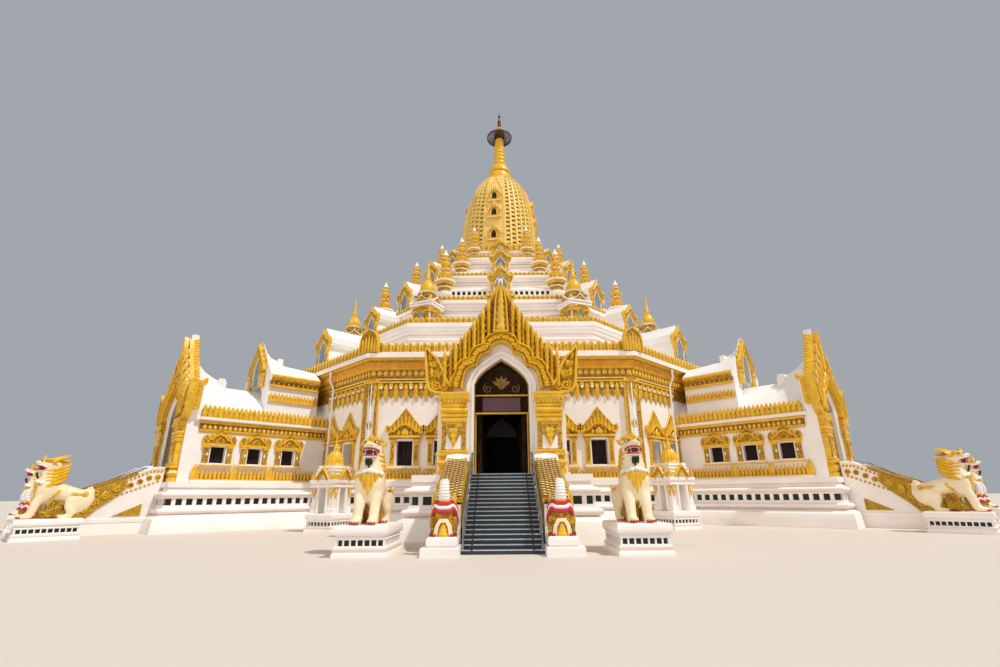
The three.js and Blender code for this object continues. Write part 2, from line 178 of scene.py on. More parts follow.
def read_off(table, at):
    """A value read between the rows of a table of places and values."""
    return float(np.interp(at, *zip(*table)))


def loft(rings, paint):
    """A closed skin through rings of equally many points, bottom first; one paint, or one for each step."""
    count = len(rings[0])
    last = (len(rings) - 1) * count
    steps = [paint] * (len(rings) - 1) if isinstance(paint, str) else list(paint)
    faces, paints = [], []
    for r, step in enumerate(steps):
        for i in range(count):
            a, b = r * count + i, r * count + (i + 1) % count
            faces.append((a, b, b + count, a + count))
            paints.append(step)
    faces += [tuple(reversed(range(count))), tuple(range(last, last + count))]
    return Shape().add([p for ring in rings for p in ring], faces, paints + [steps[0]] * 2)


def block(u0, u1, v0, v1, w0, w1, paint):
    ring = [(u0, v0), (u1, v0), (u1, v1), (u0, v1)]
    return loft([[(u, v, w) for u, v in ring] for w in (w0, w1)], paint)


def blocks(*sizes):
    """Blocks, each with its ends along u, v and w and its paint."""
    made = Shape()
    for size in sizes:
        made.put(block(*size))
    return made


def turned(profile, sides, paint):
    """A profile of radius and height turned round Z. With eight sides the radius is that of the flats."""
    grow = 1 / math.cos(math.pi / sides) if sides == SIDES else 1
    angles = [(i + 0.5) * 2 * math.pi / sides for i in range(sides)]
    rings = [[(r * grow * math.cos(a), r * grow * math.sin(a), z) for a in angles] for r, z in profile]
    return loft(rings, paint)


def plate(outline, w0, w1, paint, inset=0.0, rim=None):
    """An outline in u and v, raised from w0 to w1, its front edge drawn in; the rim can differ in paint."""
    centre_u = sum(p[0] for p in outline) / len(outline)
    centre_v = sum(p[1] for p in outline) / len(outline)
    wide = max(abs(p[0] - centre_u) for p in outline)
    tall = max(abs(p[1] - centre_v) for p in outline)
    rings = [[(u, v, w0) for u, v in outline]]
    if inset:
        ku, kv = 1 - inset / max(wide, inset * 1.2), 1 - inset / max(tall, inset * 1.2)
        rings.append([(u, v, w1 - inset * 0.7) for u, v in outline])
        rings.append(
            [(centre_u + (u - centre_u) * ku, centre_v + (v - centre_v) * kv, w1) for u, v in outline]
        )
    else:
        rings.append([(u, v, w1) for u, v in outline])
    made = loft(rings, rim or paint)
    made.paints[-1] = paint
    return made


def half_outline(half):
    """A right half from bottom middle to top middle, joined to its mirror image."""
    other = [(-u, v) for u, v in half if abs(u) > 1e-6]
    return list(half) + other[::-1]


def panel(half, w0, w1, paint, inset=0.0, rim=None):
    """A plate with an outline given by its right half."""
    return plate(half_outline(half), w0, w1, paint, inset, rim)


def strip(profile, u0, u1, paint):
    """A moulding with a profile in w and v, run along u."""
    rings = [[(u, v, w) for w, v in profile] for u in (u1, u0)]
    return loft(rings, paint)


def sweep(path, shape, paint):
    """A shape of side and out, carried along a path in u and v; out is w and side is to the path's left."""
    rings = []
    count = len(path)
    for i, (u, v) in enumerate(path):
        before, after = path[max(i - 1, 0)], path[min(i + 1, count - 1)]
        du, dv = after[0] - before[0], after[1] - before[1]
        size = math.hypot(du, dv)
        nu, nv = -dv / size, du / size
        rings.append([(u + nu * side, v + nv * side, out) for side, out in shape])
    return loft(rings, paint)


def section(left, right, low, high, draw=0.0):
    """A four-sided section for sweep, with its outer edge drawn in on both sides."""
    return [(left, low), (right, low), (right - draw, high), (left + draw, high)]


def tube(path, radius, paint, sides=6):
    """A round bar along points in three dimensions, with one radius or one for each point."""
    rings = []
    points = [Vector(p) for p in path]
    for i, p in enumerate(points):
        along = (points[min(i + 1, len(points) - 1)] - points[max(i - 1, 0)]).normalized()
        guide = Vector((0, 0, 1)) if abs(along.z) < 0.9 else Vector((1, 0, 0))
        a = along.cross(guide).normalized()
        b = a.cross(along)
        r = radius[i] if isinstance(radius, list) else radius
        turns = [k * 2 * math.pi / sides for k in range(sides)]
        rings.append([tuple(p + (a * math.cos(t) - b * math.sin(t)) * r) for t in turns])
    return loft(rings, paint)


def blob(radius, paint, sides, rings):
    """A small ball with flattened poles."""
    pole = math.pi / 2 * 0.94
    profile = [(radius * math.cos(t), radius * math.sin(t)) for t in np.linspace(-pole, pole, rings + 2)]
    return turned(profile, sides, paint)


def on_line(v, w):
    """Places along u at one height and distance."""
    return lambda u: move(u, v, w)


def row(unit, u0, u1, pitch, place=move):
    """Copies of a unit side by side, as many as fit best between u0 and u1."""
    made = Shape()
    count = max(1, round((u1 - u0) / pitch))
    for i in range(count):
        made.put(unit, place(u0 + (i + 0.5) * (u1 - u0) / count))
    return made


def leaf(width, height, thick, paint="gold", lean=0.0):
    """An upright pointed leaf with a raised spine, its foot on v = 0."""
    half = width / 2
    side = [(half * 0.72, 0), (half, height * 0.38), (half * 0.62, height * 0.72)]
    spine = [
        (0, 0, thick * 0.8), (0, height * 0.4, thick + lean * 0.4),
        (0, height * 0.72, thick * 0.8 + lean * 0.8),
    ]
    tip = (0, height, thick * 0.35 + lean)
    right = [(u, v, thick * 0.25 + lean * v / height) for u, v in side]
    left = [(-u, v, w) for u, v, w in right]
    back = [(0, 0, -thick * 0.3), (0, height * 0.5, -thick * 0.3 + lean * 0.5)]
    points = right + left + spine + [tip] + back
    faces = [
        (0, 1, 7, 6), (1, 2, 8, 7), (2, 9, 8), (3, 6, 7, 4), (4, 7, 8, 5), (5, 8, 9), (1, 0, 10, 11),
        (2, 1, 11), (9, 2, 11), (3, 4, 11, 10), (4, 5, 11), (5, 9, 11), (0, 6, 3, 10),
    ]
    return Shape().add(points, faces, paint)


def tooth(width, height, thick, paint):
    """A hanging drop with a raised middle, its top on v = 0."""
    half = width / 2
    points = [
        (-half, 0, 0), (half, 0, 0), (half * 0.9, -height * 0.4, 0), (half * 0.4, -height * 0.72, 0),
        (0, -height, 0), (-half * 0.4, -height * 0.72, 0), (-half * 0.9, -height * 0.4, 0), (0, 0, thick),
        (0, -height * 0.45, thick), (0, -height * 0.75, thick * 0.6),
    ]
    faces = [
        (7, 8, 2, 1), (8, 9, 3, 2), (9, 4, 3), (0, 6, 8, 7), (6, 5, 9, 8), (5, 4, 9), (0, 7, 1),
        (0, 1, 2, 3, 4, 5, 6),
    ]
    return Shape().add(points, faces, paint)


# Objects
PIECES = {}


def piece(name, shape, smooth=30):
    """A shape as one piece of the model; edges sharper than so many degrees stay sharp."""
    mesh = bpy.data.meshes.new(name)
    points = (np.array(shape.points) * UNIT).tolist()
    mesh.from_pydata(points, [], shape.faces)
    names = sorted(set(shape.paints))
    for paint in names:
        mesh.materials.append(PAINTS[paint])
    index = {paint: i for i, paint in enumerate(names)}
    mesh.polygons.foreach_set("material_index", [index[p] for p in shape.paints])
    mesh.validate()
    solid = bmesh.new()
    solid.from_mesh(mesh)
    bmesh.ops.recalc_face_normals(solid, faces=solid.faces)
    solid.to_mesh(mesh)
    solid.free()
    if smooth:
        mesh.shade_smooth()
        mesh.set_sharp_from_angle(angle=math.radians(smooth))
    mesh.update()
    return show(name, mesh)


def show(name, mesh, turn=0.0):
    """A mesh put into the scene, turned round the spire and tied to the one body."""
    obj = bpy.data.objects.new(name, mesh)
    bpy.context.scene.collection.objects.link(obj)
    obj.matrix_world = spin(turn)
    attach(obj, "root")
    PIECES[name] = obj
    return obj


def around(name, shape, smooth=30, offset=0.0):
    """Eight copies of one mesh, one for each wing."""
    first = piece(f"{name}_1", shape, smooth)
    first.matrix_world = spin(offset * TURN)
    made = [first]
    for k in range(1, SIDES):
        made.append(show(f"{name}_{k + 1}", first.data, (k + offset) * TURN))
    return made


# Materials
# The colour towards which carved hollows are darkened: painted shade
CREVICE_SHADE = (0.36, 0.22, 0.10)


def colour_ramp(nodes, low, low_colour, high, high_colour):
    ramp = nodes.new("ShaderNodeValToRGB")
    for element, position, colour in zip(ramp.color_ramp.elements, (low, high), (low_colour, high_colour)):
        element.position = position
        element.color = (*colour, 1)
    return ramp


def carved_cells(tree, place, carve):
    """How far each point is from the middle of its rounded, bent cell."""
    nodes, links = tree.nodes, tree.links
    cells = nodes.new("ShaderNodeTexVoronoi")
    cells.feature = "SMOOTH_F1"
    cells.inputs["Scale"].default_value = carve
    warp = nodes.new("ShaderNodeTexNoise")
    warp.inputs["Scale"].default_value = carve * 0.7
    bend = nodes.new("ShaderNodeMixRGB")
    bend.blend_type = "ADD"
    bend.inputs["Fac"].default_value = 0.35
    links.new(place.outputs["Object"], bend.inputs["Color1"])
    links.new(place.outputs["Object"], warp.inputs["Vector"])
    links.new(warp.outputs["Color"], bend.inputs["Color2"])
    links.new(bend.outputs["Color"], cells.inputs["Vector"])
    return cells.outputs["Distance"]


def material(name, colour, rough, vary, grain, bump, fine, dark=None, carve=0.0, crevice_shading=0.85, metal=0.0):
    """A painted surface with uneven colour and small relief, and painted shade that darkens the hollows of
    its carving.
    """
    made = bpy.data.materials.new(name)
    made.use_nodes = True
    tree = made.node_tree
    nodes, links = tree.nodes, tree.links
    shader = nodes["Principled BSDF"]
    shader.inputs["Roughness"].default_value = rough
    shader.inputs["Metallic"].default_value = metal
    place = nodes.new("ShaderNodeTexCoord")
    broad = nodes.new("ShaderNodeTexNoise")
    broad.inputs["Scale"].default_value = grain
    broad.inputs["Detail"].default_value = 6
    links.new(place.outputs["Object"], broad.inputs["Vector"])
    shade = dark or [c * (1 - vary) for c in colour]
    ramp = colour_ramp(nodes, 0.3, shade, 0.7, [min(c * (1 + vary), 1) for c in colour])
    links.new(broad.outputs["Fac"], ramp.inputs["Fac"])
    small = nodes.new("ShaderNodeTexNoise")
    small.inputs["Scale"].default_value = fine
    small.inputs["Detail"].default_value = 4
    links.new(place.outputs["Object"], small.inputs["Vector"])
    height = small.outputs["Fac"]
    colour_out = ramp.outputs["Color"]
    if carve:
        cells = carved_cells(tree, place, carve)
        # the hollows of the carving are darkened, as painted shade
        hollow = colour_ramp(nodes, 0.25, (1, 1, 1), 0.62, CREVICE_SHADE)
        links.new(cells, hollow.inputs["Fac"])
        crevice_darkening = nodes.new("ShaderNodeMixRGB")
        crevice_darkening.blend_type = "MULTIPLY"
        crevice_darkening.inputs["Fac"].default_value = crevice_shading
        links.new(colour_out, crevice_darkening.inputs["Color1"])
        links.new(hollow.outputs["Color"], crevice_darkening.inputs["Color2"])
        colour_out = crevice_darkening.outputs["Color"]
        level = nodes.new("ShaderNodeMath")
        level.operation = "MULTIPLY_ADD"
        level.inputs[1].default_value = -3.0
        links.new(cells, level.inputs[0])
        links.new(small.outputs["Fac"], level.inputs[2])
        height = level.outputs["Value"]
    relief = nodes.new("ShaderNodeBump")
    relief.inputs["Strength"].default_value = bump
    relief.inputs["Distance"].default_value = 0.03 if carve else 0.01
    links.new(height, relief.inputs["Height"])
    links.new(relief.outputs["Normal"], shader.inputs["Normal"])
    links.new(colour_out, shader.inputs["Base Color"])
    return made


PAINTS = {
    "white": material("white_plaster", (0.94, 0.90, 0.86), 0.62, 0.03, 1.2, 0.12, 40.0, (0.89, 0.84, 0.79)),
    "roof": material("roof_plaster", (0.92, 0.91, 0.88), 0.6, 0.03, 1.0, 0.15, 40.0, (0.86, 0.83, 0.80)),
    "gold": material("gold_paint", (0.84, 0.52, 0.028), 0.36, 0.08, 6.0, 0.25, 60.0, (0.70, 0.38, 0.016)),
    "carved": material(
        "carved_gold", (0.84, 0.53, 0.030), 0.38, 0.08, 8.0, 0.8, 60.0, (0.66, 0.36, 0.016), 15.0
    ),
    "ochre": material(
        "ochre_ground", (0.46, 0.23, 0.015), 0.6, 0.1, 6.0, 0.25, 50.0, (0.32, 0.15, 0.01), 14.0
    ),
    "hollow": material("lattice_shade", (0.40, 0.22, 0.05), 0.6, 0.15, 6.0, 0.2, 50.0, (0.28, 0.14, 0.03)),
    "relief": material(
        "carved_arch", (0.86, 0.56, 0.035), 0.38, 0.06, 8.0, 0.8, 60.0, (0.74, 0.44, 0.02), 20.0, 0.6
    ),
    "orange": material("orange_band", (0.82, 0.33, 0.012), 0.5, 0.06, 6.0, 0.2, 50.0, (0.70, 0.26, 0.01)),
    "pale": material("pale_gold", (0.88, 0.66, 0.20), 0.5, 0.06, 5.0, 0.2, 50.0, (0.80, 0.54, 0.12)),
    "scale": material("pale_scale", (0.92, 0.74, 0.36), 0.5, 0.06, 5.0, 0.2, 50.0, (0.86, 0.64, 0.24)),
    "cream": material("cream_paint", (0.92, 0.80, 0.56), 0.45, 0.05, 3.0, 0.12, 30.0, (0.87, 0.72, 0.45)),
    # thin lines under the edges of mouldings: painted shadow
    "grey": material("painted_shadow_line", (0.62, 0.52, 0.36), 0.6, 0.1, 5.0, 0.2, 40.0),
    # a pinker white for faces that look downwards: painted shade
    "blush": material("plaster_shaded_underside", (0.88, 0.74, 0.68), 0.6, 0.04, 1.2, 0.12, 40.0, (0.84, 0.68, 0.61)),
    "vent": material("vent_dark", (0.006, 0.020, 0.020), 0.6, 0.3, 9.0, 0.1, 40.0),
    # dark for the windows, and painted shade for the doorway's reveals, the fanlight and small openings
    "dark": material("window_dark_and_opening_shade", (0.030, 0.018, 0.020), 0.4, 0.2, 6.0, 0.1, 40.0),
    # black for the inside of the doorway: painted shade
    "night": material("painted_interior_shade", (0.002, 0.002, 0.003), 0.9, 0.2, 6.0, 0.1, 40.0),
    "shutter": material(
        "door_shutter", (0.045, 0.024, 0.010), 0.5, 0.3, 9.0, 0.5, 40.0, (0.02, 0.01, 0.006), 14.0
    ),
    "dull": material("dull_gilding", (0.30, 0.16, 0.03), 0.5, 0.2, 9.0, 0.4, 40.0, (0.16, 0.08, 0.015)),
    "mauve": material("mauve_panel", (0.12, 0.05, 0.075), 0.3, 0.08, 2.0, 0.05, 20.0),
    "blue": material("blue_grey_panel", (0.24, 0.29, 0.34), 0.35, 0.08, 2.0, 0.05, 20.0),
    "slate": material("slate_tread", (0.024, 0.036, 0.045), 0.55, 0.2, 8.0, 0.2, 60.0),
    "nosing": material("worn_nosing", (0.50, 0.54, 0.58), 0.5, 0.15, 8.0, 0.2, 60.0),
    "steel": material("steel_rail", (0.42, 0.43, 0.45), 0.28, 0.05, 8.0, 0.03, 60.0, metal=0.9),
    "red": material("red_paint", (0.55, 0.02, 0.03), 0.3, 0.1, 6.0, 0.1, 40.0),
    "black": material("beard_black", (0.02, 0.03, 0.018), 0.5, 0.3, 9.0, 0.4, 40.0),
    "bronze": material(
        "dark_bronze", (0.10, 0.045, 0.03), 0.4, 0.2, 9.0, 0.3, 40.0, (0.05, 0.02, 0.015), metal=0.6
    ),
}

# What lies in the shade of the building has hardly a shine.
for shaded in ("night", "dark", "shutter", "hollow"):
    PAINTS[shaded].node_tree.nodes["Principled BSDF"].inputs["Specular IOR Level"].default_value = 0.08


# Plinth
def plan_outline(offset):
    """The octagon and its eight wings in plan, at an offset from the walls."""
    outline = []
    half = WING_HALF + offset
    face = CORE_OUTER + offset
    for k in range(SIDES):
        c, s = math.cos(k * TURN), math.sin(k * TURN)
        bay = [
            (-face * CORNER, -face), (-half, -face), (-half, -WING_END - offset),
            (half, -WING_END - offset), (half, -face),
        ]
        outline += [(x * c - y * s, x * s + y * c) for x, y in bay]
    return outline


def roll(offset, z0, z1, out):
    """Points of a half-round moulding that stands out from an offset."""
    middle, half = (z0 + z1) / 2, (z1 - z0) / 2
    angles = [math.pi * i / 6 - math.pi / 2 for i in range(7)]
    return [(offset + out * math.cos(a), middle + half * math.sin(a)) for a in angles]


def plinth():
    """The moulded base under the octagon and the wings, with the floor on top."""
    profile = [(1.68, 0.0), (1.68, 0.12), (1.6, 0.75), (1.5, 0.88), (1.3, 0.96), (1.2, 1.0)]
    profile += roll(1.2, 1.02, 1.34, 0.2)
    recess = (0.98, VENT_LOW)
    profile += [(1.12, 1.36), (1.12, VENT_LOW), recess, (0.98, VENT_HIGH), (1.12, VENT_HIGH), (1.14, 1.92)]
    profile += roll(1.14, 1.94, 2.24, 0.17)
    profile += [(1.04, 2.28), (0.98, 2.34), (0.92, 2.42), (0.95, 2.48), (1.05, 2.5), (1.05, FLOOR)]
    # faces that look downwards are painted pinker, as painted shade
    paints = ["blush" if b[0] > a[0] + 0.02 else "white" for a, b in zip(profile, profile[1:])]
    paints[profile.index(recess)] = "vent"
    return loft([[(x, y, z) for x, y in plan_outline(offset)] for offset, z in profile], paints)


def vent_posts():
    """White posts between the vents, along both sides of a wing and the faces beside it."""
    made = Shape()
    offset = 0.97
    post = block(-0.1, 0.1, VENT_LOW - 0.01, VENT_HIGH + 0.01, 0, 0.15, "white")
    flank = row(post, -WING_END - 0.9, -CORE_OUTER - 1.1, VENT_PITCH)
    made.put(flank, wall(0, WING_HALF + offset)).put(flank, wall(math.pi, WING_HALF + offset) @ MIRROR)
    reach = (CORE_OUTER + 1.0) * CORNER
    for near, far, face in ((4.3, reach - 0.1, CORE_OUTER), (2.75, 4.0, WING_END)):
        made.put(both(row(post, near, far, VENT_PITCH)), wall(FRONT, face + offset))
    return made


# Windows
def wing_window():
    """A wing window, centred on u = 0: gold pilasters, sill, lintel and a low pediment."""
    made = Shape()
    half, sill, head = WING_WINDOW
    made.put(blocks(
        (-half, half, sill - 0.02, head + 0.02, -0.35, -0.3, "dark"),
        (-0.02, 0.02, sill, head, -0.3, -0.27, "shutter"),
    ))
    for u in (-0.29, -0.15, 0.15, 0.29):
        made.put(block(u - 0.01, u + 0.01, sill, head, -0.3, -0.28, "shutter"))
    side = blocks(
        (half, half + 0.09, sill - 0.05, head + 0.05, -0.02, 0.06, "white"),
        (half + 0.09, 0.84, sill - 0.12, head, 0, 0.14, "carved"),
        (half + 0.12, 0.87, sill - 0.17, sill - 0.02, 0, 0.17, "gold"),
    )
    side.put(plate([(0.62, 4.4), (0.68, 4.52), (0.62, 4.64), (0.56, 4.52)], 0.1, 0.18, "white"))
    side.put(block(half + 0.1, 0.89, head - 0.08, head + 0.06, 0, 0.18, "gold"))
    made.put(both(side))
    made.put(blocks(
        (-half - 0.05, half + 0.05, head, head + 0.08, 0, 0.08, "white"),
        (-0.98, 0.98, sill - 0.2, sill - 0.12, 0, 0.24, "gold"),
        (-0.94, 0.94, sill - 0.12, sill - 0.05, 0, 0.2, "white"),
        (-0.95, 0.95, head + 0.06, head + 0.2, 0, 0.2, "gold"),
    ))
    hood = [
        (0.97, 5.18), (1.02, 5.45), (0.93, 5.66), (0.8, 5.7), (0.66, 5.62), (0.5, 5.72), (0.36, 5.86),
        (0.2, 5.93),
    ]
    made.put(panel(hood + [(0.09, 6.05), (0, 6.3)], 0, 0.16, "carved", 0.05, "gold"))
    arch = mirrored([(0.74, 5.22), (0.62, 5.42), (0.46, 5.45), (0.36, 5.6), (0.18, 5.72), (0, 5.78)])
    made.put(sweep(arch, section(-0.05, 0.05, 0.1, 0.24), "gold"))
    made.put(panel([(0.2, 5.22), (0.22, 5.4), (0.1, 5.5), (0, 5.62)], 0.1, 0.24, "ochre", 0.05, "gold"))
    for u in (-0.62, -0.36, 0.36, 0.62):
        made.put(leaf(0.2, 0.3, 0.07), move(u, 5.5 + 0.18 * (0.62 - abs(u)), 0.16))
    return made


def core_window():
    """A tall window of the octagon, with a pediment of upright flames."""
    made = Shape()
    half, sill, head = CORE_WINDOW
    made.put(block(-half, half, sill - 0.02, head + 0.02, -0.55, -0.48, "dark"))
    for u in (-0.27, 0.0, 0.27):
        made.put(block(u - 0.015, u + 0.015, sill, head, -0.48, -0.44, "shutter"))
    side = blocks(
        (half, half + 0.08, sill, head + 0.1, -0.1, 0.1, "white"),
        (half + 0.08, 0.93, sill - 0.15, head + 0.1, 0, 0.16, "gold"),
    )
    shaft = [(0.68, 4.0), (0.86, 4.0), (0.86, 5.1), (0.77, 5.25), (0.68, 5.1)]
    side.put(plate(shaft, 0.12, 0.21, "carved", 0.03))
    for v in (3.68, 5.36):
        side.put(block(half + 0.05, 0.99, v, v + 0.12, 0, 0.22, "gold"))
    side.put(block(half + 0.02, 1.03, 5.5, 5.62, 0, 0.25, "carved"))
    made.put(both(side))
    made.put(blocks(
        (-half - 0.06, half + 0.06, head, head + 0.12, 0, 0.14, "white"),
        (-1.05, 1.05, 5.58, 5.74, 0, 0.28, "gold"),
        (-1.1, 1.1, sill - 0.24, sill - 0.14, 0, 0.3, "gold"),
        (-1.06, 1.06, sill - 0.14, sill - 0.04, 0, 0.26, "white"),
    ))
    hood = [
        (1.1, 5.74), (1.22, 6.05), (1.17, 6.32), (0.98, 6.36), (0.78, 6.62), (0.56, 6.85), (0.34, 7.15),
        (0.13, 7.42),
    ]
    made.put(panel(hood + [(0, 7.6)], 0, 0.14, "carved", 0.04, "gold"))
    for u in np.linspace(-0.96, 0.96, 9):
        top = 7.45 - 1.12 * abs(u) ** 0.9
        foot = 6.32 - 0.5 * abs(u)
        made.put(leaf(0.22, top - foot, 0.12), move(u, foot, 0.13))
    arch = mirrored(
        [(1.1, 5.82), (0.93, 6.02), (0.72, 5.98), (0.58, 6.16), (0.36, 6.36), (0.14, 6.42), (0, 6.5)]
    )
    made.put(sweep(arch, section(-0.07, 0.07, 0.1, 0.3, 0.03), "gold"))
    made.put(panel([(0.72, 5.76), (0.6, 5.94), (0.4, 6.16), (0.16, 6.28), (0, 6.34)], 0.1, 0.16, "ochre"))
    made.put(panel([(0.22, 5.78), (0.26, 5.95), (0.14, 6.1), (0, 6.26)], 0.12, 0.24, "gold", 0.04))
    for s in (-1, 1):
        made.put(leaf(0.2, 0.34, 0.08), move(s * 0.42, 5.78, 0.15))
        curl = [(s * 1.05, 5.9), (s * 1.22, 6.0), (s * 1.27, 6.2), (s * 1.2, 6.42)]
        made.put(sweep(curl, section(-0.06, 0.06, 0.05, 0.26), "gold"))
    return made


def petal_band(u0, u1, low, tall):
    """A row of upright lotus petals over a brown ground."""
    pitch = 0.24
    made = blocks(
        (u0, u1, low, low + tall * 0.62, 0, 0.06, "ochre"),
        (u0, u1, low, low + 0.1, 0, 0.16, "gold"),
    )
    made.put(row(leaf(pitch * 0.86, tall, 0.09), u0, u1, pitch, on_line(low + 0.06, 0.06)))
    return made


def side_of_wing():
    """What is on one side wall of a wing; u runs along the wall, and the doorway's end is at u0."""
    made = Shape()
    near, far = -WING_END + 0.25, -CORE_OUTER - 0.1
    window = wing_window()
    for r in WING_WINDOWS:
        made.put(window, move(-r))
    made.put(petal_band(near, far, FLOOR + 0.12, 0.72))
    # a tall leaf beside each window
    for r in (27.78, 25.5, 30.05):
        made.put(leaf(0.42, 1.0, 0.12), move(-r, FLOOR + 0.14, 0.08))
    made.put(block(near, far, FLOOR, FLOOR + 0.14, 0, 0.2, "white"))
    # brown band under the eave, with a toothed edge and small white spots
    made.put(blocks(
        (near, far, 5.98, 6.5, 0, 0.08, "ochre"),
        (near, far, 6.42, EAVE, 0, 0.16, "gold"),
        (near, far, 5.96, 6.04, 0, 0.12, "gold"),
    ))
    made.put(row(tooth(0.2, 0.16, 0.06, "gold"), near, far, 0.22, on_line(5.98, 0.04)))
    spot = plate([(0.05, 0), (0, 0.05), (-0.05, 0), (0, -0.05)], 0, 0.05, "white")
    made.put(row(spot, near, far, 0.6, on_line(6.24, 0.07)))
    made.put(row(leaf(0.22, 0.3, 0.06), near, far, 0.3, lambda u: move(u + 0.15, 6.08, 0.06)))
    # white ledge and the crest of gold leaves that stands on it
    made.put(strip([(0, EAVE), (0.2, EAVE), (0.3, 6.66), (0.3, 6.8), (0, 6.8)], near - 0.1, far, "white"))
    made.put(blocks(
        (near, far, 6.8, 7.3, -0.02, 0.12, "carved"),
        (near, far, 6.8, 6.88, 0.1, 0.2, "gold"),
    ))
    made.put(row(leaf(0.3, 0.6, 0.1), near, far, 0.31, on_line(6.82, 0.12)))
    made.put(row(leaf(0.27, 0.44, 0.08), near, far, 0.27, on_line(7.2, 0.08)))
    return made


def wing_trim():
    """Both sides of a wing, and the higher part of its roof."""
    side = side_of_wing()
    made = Shape().put(side, wall(0, WING_HALF)).put(side, wall(math.pi, WING_HALF) @ MIRROR)
    upper = Shape()
    near, far = -26.0, -22.4
    upper.put(block(near, far, 8.45, 8.6, 0, 0.16, "gold"))
    upper.put(row(leaf(0.26, 0.62, 0.1), near, far, 0.27, on_line(8.5, 0.03)))
    upper.put(blocks(
        (near, far, 8.5, 8.85, 0, 0.05, "ochre"),
        (near, far, 9.5, 9.66, 0, 0.2, "gold"),
        (near, far, 9.66, 9.86, 0, 0.14, "ochre"),
    ))
    upper.put(row(blob(0.07, "pale", 6, 3), near, far, 0.36, on_line(9.77, 0.16)))
    upper.put(strip([(0, 9.86), (0.2, 9.86), (0.32, 9.98), (0.32, 10.12), (0, 10.12)], near, far, "carved"))
    upper.put(strip([(0, 10.12), (0.28, 10.12), (0.34, 10.3), (0.2, 10.42), (0, 10.42)], near, far, "gold"))
    made.put(upper, wall(0, HIGH_HALF)).put(upper, wall(math.pi, HIGH_HALF) @ MIRROR)
    return made


# Walls and roofs of a bay
def pierced(u0, u1, v0, v1, depth, centres, window):
    """A wall with a row of square openings."""
    made = Shape()
    half, sill, head = window
    edge = u0
    for middle in sorted(centres):
        left, right = middle - half, middle + half
        for a, b, low, high in ((edge, left, v0, v1), (left, right, v0, sill), (left, right, head, v1)):
            made.put(block(a, b, low, high, -depth, 0, "white"))
        edge = right
    return made.put(block(edge, u1, v0, v1, -depth, 0, "white"))


def wall_bay():
    """One face of the octagon, its wing's side walls and the gabled end wall with the pointed doorway."""
    made = Shape()
    thick, gable_thick, slab = 0.55, 1.0, 0.44
    open_half = WING_HALF - thick
    core_thick = CORE_OUTER - CORE_INNER
    windows = [u for u in CORE_WINDOWS if u > 0]
    reach = CORE_OUTER * CORNER
    made.put(both(pierced(open_half, reach, FLOOR, WALL_TOP, core_thick, windows, CORE_WINDOW)))
    made.put(block(-open_half, open_half, 6.2, WALL_TOP, -core_thick, 0, "white"))
    made = Shape().put(made, wall(FRONT, CORE_OUTER))
    ends = (gable_thick - FACADE, 0.1 - CORE_OUTER)
    side = pierced(*ends, FLOOR, EAVE, thick, [-r for r in WING_WINDOWS], WING_WINDOW)
    made.put(side, wall(0, WING_HALF)).put(side, wall(math.pi, WING_HALF) @ MIRROR)
    gable = [
        (WING_HALF, FLOOR), (WING_HALF, 6.6), (3.55, 7.2), (3.79, 8.95), (3.0, 7.85), (2.35, 8.9),
        (1.4, 10.35), (0.68, 11.45), (0.3, 12.1), (0.12, 12.5), (0.12, 12.9), (0, 12.9),
    ]
    behind = [(WING_HALF, FLOOR), (WING_HALF, 6.8), (2.6, 7.4), (1.5, 8.8), (0, 9.6)]
    door = arch_line(DOOR_HALF, DOOR_SPRING, DOOR_APEX, FLOOR)
    made.put(plate(half_outline(gable) + door, -slab, 0, "white"), wall(FRONT, FACADE))
    made.put(plate(half_outline(behind) + door, -gable_thick, -slab, "white"), wall(FRONT, FACADE))
    return made


def roof_shell(sections, outer, inner):
    """A hollow roof along a wing; each section gives its distance, its ridge and its shoulder."""
    rings = []
    for r, ridge, shoulder in sections:
        right = outer + [(outer[-1][0] * 0.5, shoulder), (0, ridge)]
        ring = half_outline(right) + mirrored([(-u, z) for u, z in inner])
        rings.append([(u, -r, z) for u, z in ring])
    return loft(rings, "roof")


def wing_roof():
    """The low vault, its higher inner part, and the ridges that sweep up to the gables."""
    low = [
        (21.6, 9.35, 8.5), (28.34, 9.44, 8.5), (28.8, 9.9, 8.6), (29.2, 10.08, 8.7), (29.7, 10.38, 8.9),
        (30.15, 10.85, 9.2), (30.47, 11.5, 9.6),
    ]
    eaves = [(3.35, EAVE), (3.35, 6.8), (3.12, 6.8), (3.12, 7.3), (2.85, 7.3), (2.85, 7.1)]
    made = roof_shell(low, eaves, [(2.5, EAVE), (1.7, 8.0), (0, 8.8)])
    high = [
        (22.35, 11.6, 11.25), (24.5, 11.75, 11.3), (24.9, 12.05, 11.35), (25.4, 12.25, 11.45),
        (25.8, 12.7, 11.6), (26.1, 13.4, 11.8),
    ]
    walls = [(HIGH_HALF, 7.2), (HIGH_HALF, 9.9), (2.62, 10.0), (2.62, 10.42)]
    made.put(roof_shell(high, walls, [(1.2, 7.2), (1.2, 9.2), (0, 10.4)]))
    for half, near, far, top in (
        (0.34, 28.36, 28.78, 10.02), (0.4, 28.3, 28.84, 9.8), (0.26, 24.5, 24.86, 12.2)
    ):
        made.put(block(-half, half, 9.2, top, near, far, "roof"), wall(FRONT, 0))
    return made


